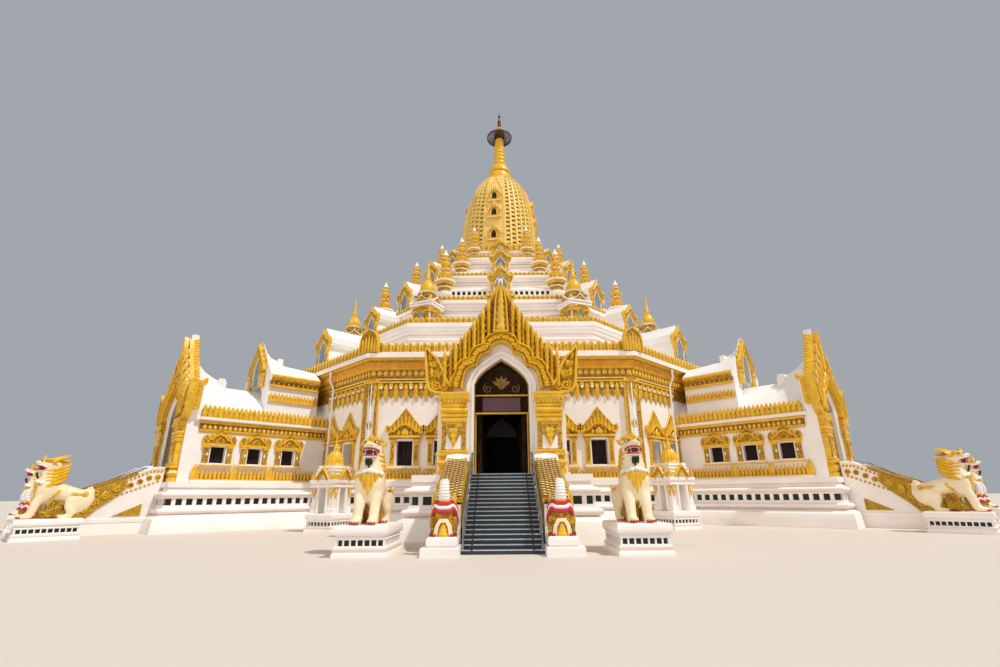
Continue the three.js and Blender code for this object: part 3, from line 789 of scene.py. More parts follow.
# Core faces
def valance(u0, u1):
    """Pointed drops hung below the cornice, with white beads."""
    made = Shape()
    step = (u1 - u0) / max(1, round((u1 - u0) / 0.7))
    made.put(blocks(
        (u0, u1, VALANCE_FOOT, WALL_TOP, 0, 0.1, "ochre"),
        (u0, u1, 9.3, 9.42, 0, 0.18, "gold"),
        (u0, u1, 9.5, 9.62, 0, 0.22, "pale"),
    ))
    unit = Shape()
    unit.put(tooth(step * 0.62, 0.82, 0.13, "gold"), move(-step / 2, 8.8, 0.06))
    unit.put(tooth(step * 0.5, 0.55, 0.1, "carved"), move(0, 8.76, 0.08))
    unit.put(blob(0.11, "white", 6, 3), move(0, 8.94, 0.16))
    unit.put(leaf(step * 0.5, 0.4, 0.08), move(0, 9.0, 0.1))
    unit.put(leaf(step * 0.4, 0.42, 0.08), move(-step / 2, 8.82, 0.12))
    return made.put(row(unit, u0, u1, step))


def corner_pilaster():
    """The flat pilaster on an octagon corner, with gold borders, beads, a diamond and triangles."""
    made = Shape()
    low, high, half = FLOOR + 0.6, WALL_TOP, 0.58
    made.put(block(-half, half, FLOOR, WALL_TOP, -0.5, 0.1, "white"))
    side = blocks(
        (0.34, 0.6, low, high, 0.05, 0.2, "carved"),
        (0.56, 0.62, low, high, 0.1, 0.23, "gold"),
    )
    side.put(row(blob(0.05, "white", 6, 2), low, high, 0.2, lambda v: move(0.3, v, 0.13)))
    made.put(both(side))
    drop = [(-0.26, high), (-0.24, 8.6), (0, 7.2), (0.24, 8.6), (0.26, high)]
    made.put(plate(drop, 0.08, 0.2, "carved", 0.05, "gold"))
    made.put(plate([(0, 5.9), (0.24, 6.45), (0, 7.0), (-0.24, 6.45)], 0.08, 0.2, "carved", 0.06, "gold"))
    spear = [(-0.26, low), (0.26, low), (0.24, 4.1), (0, 5.7), (-0.24, 4.1)]
    made.put(plate(spear, 0.08, 0.2, "carved", 0.05, "gold"))
    made.put(blocks(
        (-0.66, 0.66, FLOOR, FLOOR + 0.3, 0, 0.3, "white"),
        (-0.64, 0.64, FLOOR + 0.3, low, 0, 0.26, "gold"),
        (-0.64, 0.64, 9.3, WALL_TOP, 0, 0.26, "gold"),
    ))
    return made


def core_trim():
    """What is on one face of the octagon: windows, bands, drops, a corner pilaster and the downpipes."""
    face = Shape()
    window = core_window()
    for u in CORE_WINDOWS:
        face.put(window, move(u))
    reach = CORE_OUTER * CORNER - 0.35
    for side in (-1, 1):
        ends = sorted((side * (WING_HALF + 0.02), side * reach))
        face.put(petal_band(*ends, FLOOR + 0.1, 0.62))
        face.put(block(*ends, FLOOR, FLOOR + 0.12, 0, 0.2, "white"))
        face.put(valance(*ends))
    face.put(block(-WING_HALF, WING_HALF, VALANCE_FOOT, WALL_TOP, 0, 0.1, "ochre"))
    made = Shape().put(face, wall(FRONT, CORE_OUTER))
    made.put(corner_pilaster(), wall(FRONT + TURN / 2, CORE_OUTER / math.cos(TURN / 2) - 0.22))
    # downpipes in the angles between the wing and the octagon
    for side in (-1, 1):
        u = side * (WING_HALF + 0.75)
        path = [
            (side * (WING_HALF + 0.9), -22.25, 10.9), (u, -22.2, 10.3), (u, -21.85, 9.6), (u, -21.85, 3.4),
            (u, -22.2, 2.9), (u, -22.95, 2.5), (u, -23.0, 0.1),
        ]
        made.put(tube(path, 0.09, "white"))
    return made


# Cornice and terraces
def ring_row(unit, apothem, z, pitch):
    """A unit repeated along the face of an octagon that looks towards -Y."""
    reach = apothem * CORNER
    return Shape().put(row(unit, -reach, reach, pitch), wall(FRONT, apothem, 0, z))


def on_corner(shape, apothem, z):
    """A shape that stands on z = 0, set on the corner of an octagon with its side towards the corner."""
    angle = FRONT + TURN / 2
    return Shape().put(shape, spin(angle) @ move(apothem / math.cos(TURN / 2), 0, z))


def fan(width, height):
    """A round-headed shell with ribs, on the corners of the main crest."""
    made = Shape()
    half = width / 2
    turns = [math.pi * i / 16 for i in range(8)]
    arc = [(half, 0)] + [(half * math.cos(a), height * (0.42 + 0.58 * math.sin(a))) for a in turns]
    arc.append((0, height * 1.06))
    made.put(panel(arc, -0.12, 0.14, "carved", 0.08, "gold"))
    rim = mirrored([(u * 0.96, v * 0.97) for u, v in arc])
    made.put(sweep(rim, section(-0.06, 0.06, 0.05, 0.22, 0.02), "gold"))
    for i in range(-2, 3):
        made.put(leaf(width * 0.17, height * (0.86 - 0.09 * abs(i)), 0.14), move(i * width * 0.17, 0, 0.12))
    return made


def lobe(width, height):
    """A broad leaf with a rounded head and a raised middle, its foot on v = 0."""
    half, thick = width / 2, 0.08
    outline = [
        (half * 0.8, 0), (half, height * 0.3), (half * 0.95, height * 0.6), (half * 0.6, height * 0.84),
    ]
    made = panel(outline + [(0, height)], 0, thick, "gold", thick * 0.5)
    return made.put(leaf(width * 0.5, height * 0.8, thick * 0.7, "carved"), move(0, 0, thick * 0.9))


def crest(apothem, z, tall, pitch=0.42):
    """The gold leaves that stand on a gutter, in front of a carved band."""
    reach = apothem * CORNER
    band = blocks(
        (-reach, reach, 0, tall * 0.72, -0.16, 0, "carved"),
        (-reach, reach, 0, tall * 0.14, -0.2, 0.1, "gold"),
    )
    made = Shape().put(band, wall(FRONT, apothem, 0, z))
    made.put(ring_row(lobe(pitch * 0.96, tall), apothem, z + 0.02, pitch))
    return made


def main_cornice():
    """The bands and the white gutter round the top of the octagon's walls."""
    inner = CORE_OUTER + 0.1
    profile = [
        (inner, WALL_TOP), (21.84, 9.6), (21.84, 9.72), (21.76, 9.78), (21.76, 10.2), (21.84, 10.26),
        (21.9, 10.34), (21.9, 10.66), (22.0, 10.7), (22.0, 10.84), (22.12, 10.96), (22.28, 10.98),
        (22.28, 11.3), (22.1, 11.32), (22.1, 11.4), (21.75, 11.4),
    ]
    paints = [
        "gold", "ochre", "gold", "ochre", "gold", "gold", "orange", "gold", "carved", "gold", "gold",
        "white", "white", "white", "gold",
    ]
    return turned(profile, SIDES, paints)


def cornice_trim():
    made = Shape()
    made.put(ring_row(leaf(0.36, 0.38, 0.07), 21.76, 9.8, 0.42))
    made.put(ring_row(blob(0.06, "gold", 6, 2), 21.9, 10.5, 0.3))
    made.put(crest(21.95, 11.38, 0.78, 0.5))
    made.put(fan(1.5, 1.65), wall(FRONT + TURN / 2, 22.0 / math.cos(TURN / 2) + 0.05, 0, 11.36))
    return made


# Half of a dormer's carved arch, as inner and outer points in shares of its half width and its height
DORMER_ARCH = [
    ((0, 0.72), (0, 0.95)), ((0.2, 0.69), (0.24, 0.86)), ((0.36, 0.645), (0.44, 0.82)),
    ((0.46, 0.605), (0.6, 0.76)), ((0.62, 0.59), (0.8, 0.7)), ((0.66, 0.55), (1.0, 0.675)),
    ((0.64, 0.5), (1.26, 0.7)), ((0.64, 0.45), (1.3, 0.61)), ((0.66, 0.42), (1.1, 0.52)),
]
DORMER_ROOF = [
    (0.84, 0), (0.84, 0.52), (1.22, 0.585), (1.26, 0.72), (1.0, 0.71), (0.72, 0.79), (0.44, 0.88),
    (0.16, 0.97), (0, 1.03),
]


def dormer(half, deep, tall):
    """A gabled dormer, its foot on v = 0: white body, blue niche, gold piers and a flaming cusped arch."""
    made = Shape()
    roof = half_outline([(u * half, v * tall) for u, v in DORMER_ROOF])
    made.put(plate(roof, -deep, -0.05, "roof"))
    niche = arch_line(0.58 * half, 0.44 * tall, 0.69 * tall, 0.0, 6)
    made.put(plate(niche[::-1], -0.06, 0.02, "blue"))
    made.put(sweep(niche, section(0, 0.08, 0, 0.12), "white"))
    arch = [((iu * half, iv * tall), (ou * half, ov * tall)) for (iu, iv), (ou, ov) in DORMER_ARCH]
    made.put(cusped_band(arch, -0.05, 0.24))
    side = Shape()
    steps = [
        (0.06, 0), (0.06, 0.05), (0, 0.07), (0, 0.15), (0.05, 0.17), (0.05, 0.2), (0, 0.22), (0, 0.37),
        (0.06, 0.39), (0.06, 0.43), (0.1, 0.45), (0.1, 0.5),
    ]
    side.put(pier(0.66 * half, 0.94 * half, -0.05, 0.1, [(g, v * tall) for g, v in steps], "gold"))
    wedge = [(0.7 * half, 0.08 * tall), (0.9 * half, 0.08 * tall), (0.8 * half, 0.34 * tall)]
    side.put(plate(wedge, 0.1, 0.16, "carved"))
    for u, v in ((0.32, 0.83), (0.62, 0.75), (0.92, 0.68)):
        side.put(leaf(0.26 * half, 0.12 * tall, 0.1), move(u * half, v * tall, 0.08))
    side.put(leaf(0.3 * half, 0.16 * tall, 0.12), move(1.22 * half, 0.62 * tall, 0.06))
    made.put(both(side))
    made.put(leaf(0.4 * half, 0.2 * tall, 0.14), move(0, 0.84 * tall, 0.12))
    return made


def pot(height):
    """A lotus-bud finial on a white bowl, with flame leaves and a white tip; its foot is on z = 0."""
    drum = [
        (0.165, 0), (0.165, 0.06), (0.14, 0.07), (0.13, 0.14), (0.15, 0.155), (0.15, 0.175), (0.12, 0.19),
    ]
    bowl = [
        (0.12, 0.19), (0.16, 0.225), (0.2, 0.27), (0.207, 0.285), (0.207, 0.31), (0.18, 0.32),
        (0.08, 0.325),
    ]
    bud = [
        (0.07, 0.32), (0.06, 0.34), (0.08, 0.36), (0.105, 0.4), (0.112, 0.44), (0.1, 0.485), (0.06, 0.51),
        (0.055, 0.535), (0.092, 0.545), (0.098, 0.56), (0.09, 0.575), (0.05, 0.585), (0.06, 0.61),
        (0.09, 0.65), (0.09, 0.69), (0.07, 0.73), (0.045, 0.76), (0.068, 0.785), (0.068, 0.805),
        (0.04, 0.82), (0.04, 0.87),
    ]
    tip = [(0.058, 0.865), (0.055, 0.885), (0.03, 0.935), (0.006, 1.0)]
    bud_paints = ["gold"] * (len(bud) - 1)
    for ring in (8, 9, 17):
        bud_paints[ring] = "white"
    made = Shape()
    for profile, paints in (
        (drum, ["white", "white", "carved", "gold", "white", "white"]),
        (bowl, ["carved", "gold", "white", "white", "white", "white"]),
        (bud, bud_paints),
        (tip, "white"),
    ):
        made.put(turned([(r * height, z * height) for r, z in profile], 12, paints))
    for count, foot, out, tall, lean in (
        (8, 0.21, 0.135, 0.07, 0.02),
        (8, 0.34, 0.1, 0.17, 0.065),
        (7, 0.55, 0.085, 0.15, 0.055),
        (5, 0.71, 0.055, 0.13, 0.025),
    ):
        flame = leaf(0.058 * height, tall * height, 0.02 * height, "gold", lean * height)
        for i in range(count):
            a = (i + foot * 5) * 2 * math.pi / count
            made.put(flame, wall(a, out * height, 0, foot * height))
    return made


def square_rings(profile, paint):
    """A square tower through half widths and heights."""
    return loft([[(-g, -g, z), (g, -g, z), (g, g, z), (-g, g, z)] for g, z in profile], paint)


def corner_stupa():
    """A square shrine with four gabled niches under a bell and a ringed spire; its foot is on z = 0."""
    made = square_rings([(0.96, 0), (0.96, 0.12), (0.84, 0.16), (0.84, 1.55)], "white")
    eave = [(0.95, 1.5), (1.05, 1.56), (1.05, 1.7), (0.98, 1.74), (1.12, 1.82), (1.12, 1.94), (0.9, 2.0)]
    # the downward faces of the eave are painted pinker, as painted shade
    made.put(square_rings(eave, ["blush", "white", "white", "blush", "white", "white"]))
    tiers = [
        (0.88, 1.98), (0.88, 2.16), (0.74, 2.2), (0.74, 2.46), (0.82, 2.52), (0.82, 2.64), (0.62, 2.7),
        (0.62, 2.92),
    ]
    made.put(square_rings(tiers, "carved"))
    niche = arch_line(0.2, 0.8, 1.16, 0.2, 5)
    arch = [
        ((0, 1.24), (0, 1.62)), ((0.16, 1.06), (0.4, 1.48)), ((0.26, 0.94), (0.78, 1.4)),
        ((0.28, 0.8), (0.84, 1.16)),
    ]
    eaves = mirrored([(-1.1, 1.86), (-0.9, 1.98), (-0.46, 2.12), (0, 2.5)])
    face = plate(niche[::-1], 0, 0.02, "blue")
    face.put(cusped_band(arch, 0, 0.18))
    face.put(both(block(0.26, 0.72, 0.14, 1.08, 0, 0.1, "carved")))
    face.put(both(block(0.32, 0.84, 1.0, 1.12, 0, 0.2, "gold")))
    face.put(panel([(0.9, 1.92), (0.46, 2.06), (0, 2.42)], -0.4, 0.14, "carved"))
    face.put(sweep(eaves, section(-0.02, 0.04, -0.35, 0.22), "white"))
    face.put(leaf(0.2, 0.36, 0.08), move(0, 2.44, 0.1))
    bell = [
        (0.8, 2.9), (0.84, 3.0), (0.72, 3.06), (0.76, 3.18), (0.66, 3.24), (0.67, 3.34), (0.65, 3.55),
        (0.57, 3.8), (0.42, 4.02), (0.3, 4.2), (0.34, 4.27), (0.25, 4.36), (0.28, 4.45), (0.21, 4.56),
        (0.23, 4.66), (0.17, 4.8), (0.14, 5.2), (0.1, 5.5), (0.14, 5.58), (0.09, 5.72), (0.05, 5.95),
        (0.07, 6.05), (0.012, 6.4),
    ]
    made.put(turned(bell, 12, ["white", "white"] + ["gold"] * (len(bell) - 3)))
    for k in range(4):
        a = k * math.pi / 2
        made.put(face, wall(a, 0.85))
        made.put(leaf(0.36, 0.6, 0.1), wall(a + math.pi / 4, 1.12, 0, 1.98))
    return made


# How far a terrace wall's mouldings stand out, at each share of the wall's height
COURSES = [
    (0, 0.34), (0.07, 0.36), (0.09, 0.2), (0.17, 0.2), (0.19, 0.08), (0.27, 0.1), (0.29, 0), (0.445, 0),
    (0.46, 0), (0.49, 0.13), (0.57, 0.13), (0.59, 0.02), (0.695, 0.02), (0.71, 0.02), (0.75, 0.16),
    (0.85, 0.18), (0.9, 0.28), (1, 0.28),
]
# Each terrace: radius and height of its sloping foot, its moulded wall, its gutter, the roof behind the
# crest and the crest, then its dormers as half width, distance of the face and of the back, foot and height
TERRACES = [
    {
        "foot": [(21.55, 11.1), (21.45, 11.95), (21.15, 12.06), (19.4, 12.6), (18.3, 12.7)],
        "wall": (17.65, 12.72, 14.6),
        "gutter": (18.0, 14.64, 15.0),
        "roof": [(17.4, 15.05), (16.3, 15.05)],
        "crest": (17.85, 15.0, 0.52),
        "dormers": [(1.0, 21.2, 17.5, 12.05, 3.5)],
    },
    {
        "foot": [(17.3, 15.05), (17.25, 15.45), (16.95, 15.6), (14.75, 15.98)],
        "wall": (14.15, 16.0, 17.92),
        "gutter": (14.6, 17.97, 18.32),
        "roof": [(14.1, 18.35), (12.4, 18.35)],
        "crest": (14.45, 18.32, 0.45),
        "dormers": [(0.95, 16.84, 14.0, 15.5, 3.25)],
    },
    {
        "foot": [(13.3, 18.35), (13.15, 18.8), (12.95, 18.9), (12.95, 19.46), (UPPER_VENT, UPPER_VENT_LOW)]
        + [(UPPER_VENT, UPPER_VENT_HIGH), (12.95, 19.84), (12.95, 20.02), (12.75, 20.12), (11.45, 20.76)],
        "wall": (11.05, 20.8, 21.82),
        "gutter": (11.4, 21.87, 22.15),
        "roof": [(11.0, 22.2), (9.4, 22.2)],
        "crest": (11.27, 22.14, 0.4),
        "dormers": [(0.9, 13.44, 10.95, 18.5, 3.85)],
    },
    {
        "foot": [(10.3, 22.2), (9.98, 22.8), (9.92, 23.3), (8.65, 23.85)],
        "wall": (8.3, 23.9, 25.15),
        "gutter": (8.6, 25.2, 25.5),
        "roof": [
            (8.2, 25.55), (7.15, 25.6), (7.05, 26.05), (7.0, 26.1), (7.0, 26.7), (7.2, 26.8), (7.2, 27.05),
            (4.3, 27.15),
        ],
        "crest": (8.48, 25.48, 0.42),
        "dormers": [(0.85, 10.25, 8.15, 22.35, 3.35), (0.8, 7.5, 6.6, 25.55, 2.6)],
    },
]


def terrace_body(step):
    face, low, high = step["wall"]
    rim, soffit, lip = step["gutter"]
    profile = step["foot"] + [(face + out, low + share * (high - low)) for share, out in COURSES]
    profile += [(rim - 0.06, soffit), (rim, soffit + 0.04), (rim, lip)] + step["roof"]
    # faces that look downwards are painted pinker, as painted shade
    paints = []
    for (a, low_edge), (b, high_edge) in zip(profile, profile[1:]):
        # a thin upright step below a moulding is painted as a shadow line
        shadow_seam = a == b and high_edge - low_edge < 0.03
        paints.append("grey" if shadow_seam else "blush" if b > a + 0.05 else "white")
    if (UPPER_VENT, UPPER_VENT_LOW) in profile:
        paints[profile.index((UPPER_VENT, UPPER_VENT_LOW))] = "vent"
    return turned(profile, SIDES, paints)


def terrace_trim(step):
    """The crest along one side of a terrace, and the dormers in the middle of that side."""
    made = crest(*step["crest"])
    for half, face, back, foot, tall in step["dormers"]:
        made.put(dormer(half, face - back, tall), wall(FRONT, face, 0, foot))
    return made


def terrace_extras(level):
    """What only one terrace has: corner shrines, a row of vents, pots or a tall crest on the top course."""
    made = Shape()
    if level == 1:
        made.put(on_corner(corner_stupa(), 15.34, 15.6))
    if level == 2:
        low, high = UPPER_VENT_LOW - 0.01, UPPER_VENT_HIGH + 0.01
        posts = row(block(-0.1, 0.1, low, high, 0, 0.16, "white"), 0.96, 4.84, 0.49)
        posts.put(block(4.7, 5.34, low, high, 0, 0.16, "white"))
        made.put(both(posts), wall(FRONT, UPPER_VENT - 0.01))
        made.put(on_corner(pot(4.8), 12.56, 19.5))
    if level == 3:
        made.put(on_corner(pot(4.5), 9.52, 22.85))
        made.put(on_corner(pot(4.1), 6.85, 26.0))
        made.put(crest(7.12, 27.0, 0.9, 0.62))
        made.put(ring_row(lobe(0.3, 0.55), 7.02, 26.12, 0.62))
    return made


# Tower: four flat bands of niches and four ribbed quarters between them, turned a little from the wings
TOWER = [
    (27.2, 4.8), (28.9, 4.55), (31.9, 4.36), (34.0, 4.2), (35.6, 3.96), (37.7, 3.54), (38.9, 3.1),
    (39.6, 2.7), (40.0, 2.4), (40.25, 1.95), (40.35, 1.5),
]
TOWER_TURN = math.radians(-9)
TOWER_BANDS = 4
BAND_EDGE = math.radians(16.5)
TOWER_COLUMNS = 6
# The half width of a flat band at each height, and the height of a rung between two ribs
BAND_HALF = [(28.8, 1.2), (34, 1.12), (36, 1.02), (37.6, 0.7), (38.6, 0.34), (39.4, 0.03)]
RUNG = 0.32


def tower_radius(z):
    return read_off(TOWER, z)


def upright(heights, half, near, far, paint):
    """A bar that follows the tower's outline, near and far from it, with a half width for each height."""
    rings = []
    for z in heights:
        w0, w1, h = tower_radius(z) + near, tower_radius(z) + far, half(z)
        rings.append([(h, z, w0), (h, z, w1), (-h, z, w1), (-h, z, w0)])
    return loft(rings[::-1], paint)


def tower_niche():
    """A small shrine on the flat band: steps, an opening between posts drawn as a dark plate of painted
    shade, and a pointed flame gable.
    """
    made = blocks(
        (-0.84, 0.84, -0.32, -0.18, -0.4, 0.36, "pale"),
        (-0.76, 0.76, -0.18, 0, -0.4, 0.28, "gold"),
        (-0.6, 0.6, 0, 1.05, -0.4, 0.16, "pale"),
    )
    # the opening is a dark plate: painted shade
    made.put(plate(arch_line(0.27, 0.6, 1.0, 0.06, 5)[::-1], 0.1, 0.18, "dark"))
    side = blocks(
        (0.32, 0.5, 0, 0.8, 0.1, 0.28, "gold"),
        (0.54, 0.68, 0, 0.62, 0.1, 0.22, "gold"),
    )
    for u, v, tall in ((0.24, 1.12, 0.66), (0.46, 0.9, 0.56), (0.68, 0.62, 0.5)):
        side.put(leaf(0.26, tall, 0.1), move(u, v, 0.18))
    made.put(both(side))
    made.put(panel([(0.78, 0.72), (0.52, 1.12), (0.26, 1.4), (0, 1.8)], -0.4, 0.16, "pale"))
    made.put(leaf(0.3, 1.0, 0.12), move(0, 1.1, 0.2))
    return made


def tower_band(heights):
    """A flat band with raised edges that narrows upwards, and three small shrines on it."""
    band = Shape()
    band.put(upright(heights, lambda z: tower_radius(z) * 0.285, -0.3, -0.02, "pale"))
    steps = np.linspace(28.8, 39.4, 13)
    band.put(upright(steps, lambda z: read_off(BAND_HALF, z) + 0.1, -0.3, 0.06, "pale"))
    for s in (-1, 1):
        edge = []
        for z in steps[::-1]:
            u, w = s * read_off(BAND_HALF, z), tower_radius(z)
            edge.append(
                [(u + 0.09, z, w), (u + 0.09, z, w + 0.14), (u - 0.03, z, w + 0.14), (u - 0.03, z, w)]
            )
        band.put(loft(edge, "pale"))
    niche = tower_niche()
    for z in (30.0, 33.1, 35.5):
        band.put(niche, move(0, z, tower_radius(z) + 0.06))
    return band


def tower():
    """The curved tower: four flat bands of small shrines, and ribs and rungs in the quarters between."""
    made = Shape()
    base = [
        (5.5, 27.15), (5.5, 27.55), (5.35, 27.62), (5.35, 27.8), (4.98, 27.95), (4.9, 28.1), (4.8, 28.2),
        (4.8, 28.7),
    ]
    made.put(turned(base + [(4.92, 28.76), (4.92, 28.92), (4.58, 29.05)], 32, "gold"))
    heights = np.append(np.linspace(28.8, 39.6, 14), [39.9, 40.15, 40.3])
    made.put(turned([(tower_radius(z) - 0.28, z) for z in heights], 32, "hollow"))
    made.put(turned([(2.1, 40.1), (2.2, 40.2), (2.1, 40.32), (1.3, 40.4)], 24, "pale"))
    quarter = 2 * math.pi / TOWER_BANDS
    column = (quarter - 2 * BAND_EDGE) / TOWER_COLUMNS
    band = tower_band(heights)
    for k in range(TOWER_BANDS):
        turn = FRONT + TOWER_TURN + k * quarter
        made.put(band, wall(turn, 0))
        for i in range(TOWER_COLUMNS + 1):
            share = 0.036 if i in (0, TOWER_COLUMNS) else 0.026
            rib = upright(heights, lambda z: tower_radius(z) * share, -0.3, 0.04, "pale")
            made.put(rib, wall(turn + BAND_EDGE + i * column, 0))
        for i in range(TOWER_COLUMNS):
            start = turn + BAND_EDGE + i * column
            for z in np.arange(28.9 + 0.3 * (i % 2), 39.8, 0.6):
                inner, outer = tower_radius(z + RUNG) - 0.32, tower_radius(z + RUNG) - 0.03
                rung = [(inner, z + RUNG), (outer, z + RUNG), (outer, z), (inner, z + 0.1)]
                ends = [spin(start), spin(start + column)]
                made.put(loft([[tuple(end @ Vector((r, 0, h))) for r, h in rung] for end in ends], "pale"))
    return made


def spire():
    """The rounded neck and the ringed cone above it."""
    profile = [
        (1.5, 40.3), (1.44, 40.45), (1.47, 40.8), (1.45, 41.25), (1.37, 41.6), (1.24, 41.75), (1.24, 41.85),
        (1.38, 41.95), (1.37, 42.2), (1.22, 42.6), (1.0, 42.98),
    ]
    grooves = [43.1, 43.75, 44.4, 44.95, 45.5, 46.05, 46.55, 47.0, 47.4]
    for i, (low, high) in enumerate(zip(grooves, grooves[1:])):
        r, tall = 0.86 - 0.045 * i, high - low
        profile += [
            (r * 0.9, low), (r, low + tall * 0.18), (r, low + tall * 0.55), (r * 0.93, low + tall * 0.85),
        ]
    profile += [(0.42, 47.45), (0.38, 48.0)]
    return turned(profile, 24, "gold")


def umbrella():
    """An openwork bronze dish with a dark cone above it and a gold crown."""
    made = Shape()
    spokes, edge, low = 32, 1.62, 47.42
    thicknesses = [0.06, 0.04, 0.04, 0.04, 0.04, 0.04, 0.07]
    for radius, thick in zip([edge, 1.48, 1.34, 1.2, 1.06, 0.92, 0.76], thicknesses):
        ring = circle(radius, spokes)
        level = low + 0.22 * (radius - 0.5)
        made.put(tube([(x, y, level) for x, y in ring + ring[:1]], thick, "bronze", 5))
    for i, (c, s) in enumerate(circle(1, spokes)):
        a = i * 2 * math.pi / spokes
        made.put(tube([(0.5 * c, 0.5 * s, low), (edge * c, edge * s, 47.66)], 0.035, "bronze", 4))
        made.put(leaf(0.26, 0.3, 0.05, "bronze"), wall(a + math.pi / spokes, 1.6, 0, 47.72) @ UPSIDE_DOWN)
        made.put(leaf(0.2, 0.26, 0.04, "bronze"), wall(a, 1.6, 0, 47.68))
    cone = [
        (0.46, 47.3), (0.6, 47.5), (0.76, 47.8), (0.66, 47.95), (0.72, 48.05), (0.58, 48.45), (0.62, 48.55),
        (0.42, 48.8), (0.3, 48.9),
    ]
    made.put(turned(cone, 20, "bronze"))
    crown = [(0.34, 48.8), (0.43, 48.9), (0.44, 49.05), (0.32, 49.15), (0.35, 49.28), (0.24, 49.42)]
    made.put(turned(crown, 16, "gold"))
    made.put(turned([(0.24, 49.38), (0.27, 49.5), (0.2, 49.75), (0.23, 49.85), (0.18, 50.2)], 14, "bronze"))
    return made


def finial():
    profile = [
        (0.2, 50.15), (0.24, 50.35), (0.12, 50.7), (0.07, 51.05), (0.15, 51.18), (0.17, 51.3),
        (0.12, 51.42),
    ]
    return turned(profile + [(0.05, 51.55), (0.01, 52.0)], 12, "bronze")


# Porch: the gabled end of a wing, with w = 0 on the front of its wall. Half of the great arch's carved band
# as inner and outer points, its outer edge, then the place and the tip of each blade that stands on it
BAND = [
    ((0, 9.23), (0, 9.80)), ((0.3, 9.15), (0.4, 9.75)), ((0.5, 8.95), (0.72, 9.56)),
    ((0.6, 8.66), (0.87, 9.2)), ((0.78, 8.62), (1.08, 9.14)), ((0.98, 8.52), (1.34, 9.03)),
    ((1.13, 8.3), (1.55, 8.8)), ((1.18, 8.02), (1.62, 8.46)), ((1.38, 7.98), (1.82, 8.42)),
    ((1.6, 7.88), (2.06, 8.3)), ((1.76, 7.66), (2.26, 8.04)), ((1.82, 7.38), (2.34, 7.7)),
    ((1.88, 7.1), (2.48, 7.42)), ((1.88, 6.84), (2.62, 7.1)),
]
BAND_TOP = [pair[1] for pair in BAND]
SPIKES = [
    (0.62, 11.54), (0.92, 11.04), (1.14, 10.71), (1.36, 10.35), (1.6, 10.02), (1.82, 9.73), (2.04, 9.5),
    (2.28, 9.15), (2.52, 8.96), (2.8, 8.84),
]


def arch_line(half, spring, apex, foot, steps=8):
    """A pointed arch from its left foot over the apex to its right foot."""
    left = [(-half, foot), (-half, spring)]
    for i in range(1, steps + 1):
        t = i / steps
        left.append((-half * (1 - t), spring + (apex - spring) * t**0.62))
    return mirrored(left)


# Shares of the way across an arch's band, and how high the band stands there; none is its foot
RIMMED = [
    (0, None), (0.03, 0.88), (0.12, 1), (0.2, 0.66), (0.5, 0.8), (0.8, 0.66), (0.88, 1), (0.97, 0.88),
    (1, None),
]


def cusped_band(pairs, low, high):
    """A carved band with raised rims between an inner and an outer edge, from left to right."""
    full = [((-a[0], a[1]), (-b[0], b[1])) for a, b in pairs[:0:-1]] + pairs
    rings = []
    for (iu, iv), (ou, ov) in full:
        ring = []
        for share, out in RIMMED:
            ring.append((iu + (ou - iu) * share, iv + (ov - iv) * share, high * out if out else low))
        rings.append(ring)
    made = loft(rings, "gold")
    for step in range(len(rings) - 1):
        for column in (3, 4):
            made.paints[step * len(RIMMED) + column] = "relief"
    return made


def scroll(radius, turns, thick, paint="gold"):
    """A flat spiral that opens upwards from its eye at the origin."""
    path = []
    for t in np.linspace(0, 1, 15):
        a = -math.pi / 2 + t * turns * 2 * math.pi
        r = radius * (0.2 + 0.8 * t)
        path.append((r * math.cos(a), r * math.sin(a)))
    return sweep(path, section(-thick, thick, 0, thick * 1.6, thick * 0.6), paint)


def flame_blade(width, height):
    """An upright blade with a leaf-shaped tip, stacked scales and teeth along both edges."""
    half, thick = width / 2, 0.14
    waist = max(height - 0.55, height * 0.5)
    outline = [(half * 0.8, 0), (half * 0.8, waist * 0.9), (half * 1.1, waist), (half * 0.6, height * 0.9)]
    made = panel(outline + [(0, height)], 0, thick, "gold", 0.03)
    made.put(leaf(width * 0.8, 0.5, 0.08, "pale"), move(0, height - 0.52, thick))
    count = max(3, int(height / 0.36))
    scale_leaf = leaf(width * 0.74, height * 0.8 / count * 1.2, 0.11, "gold", 0.05)
    edge = leaf(width * 0.42, 0.24, 0.06, "carved", 0.02)
    for i in range(count):
        v = height * 0.8 * i / count
        made.put(scale_leaf, move(0, v, thick))
        for s in (-1, 1):
            made.put(edge, move(s * half * 0.75, v, thick * 0.5) @ spin(-s * 0.6))
    return made


def pier(u0, u1, w0, w1, profile, paint):
    """A square pier: the profile gives how far each height stands out from its sides."""
    rings = [
        [(u0 - g, v, w0), (u0 - g, v, w1 + g), (u1 + g, v, w1 + g), (u1 + g, v, w0)] for g, v in profile
    ]
    return loft(rings, paint)


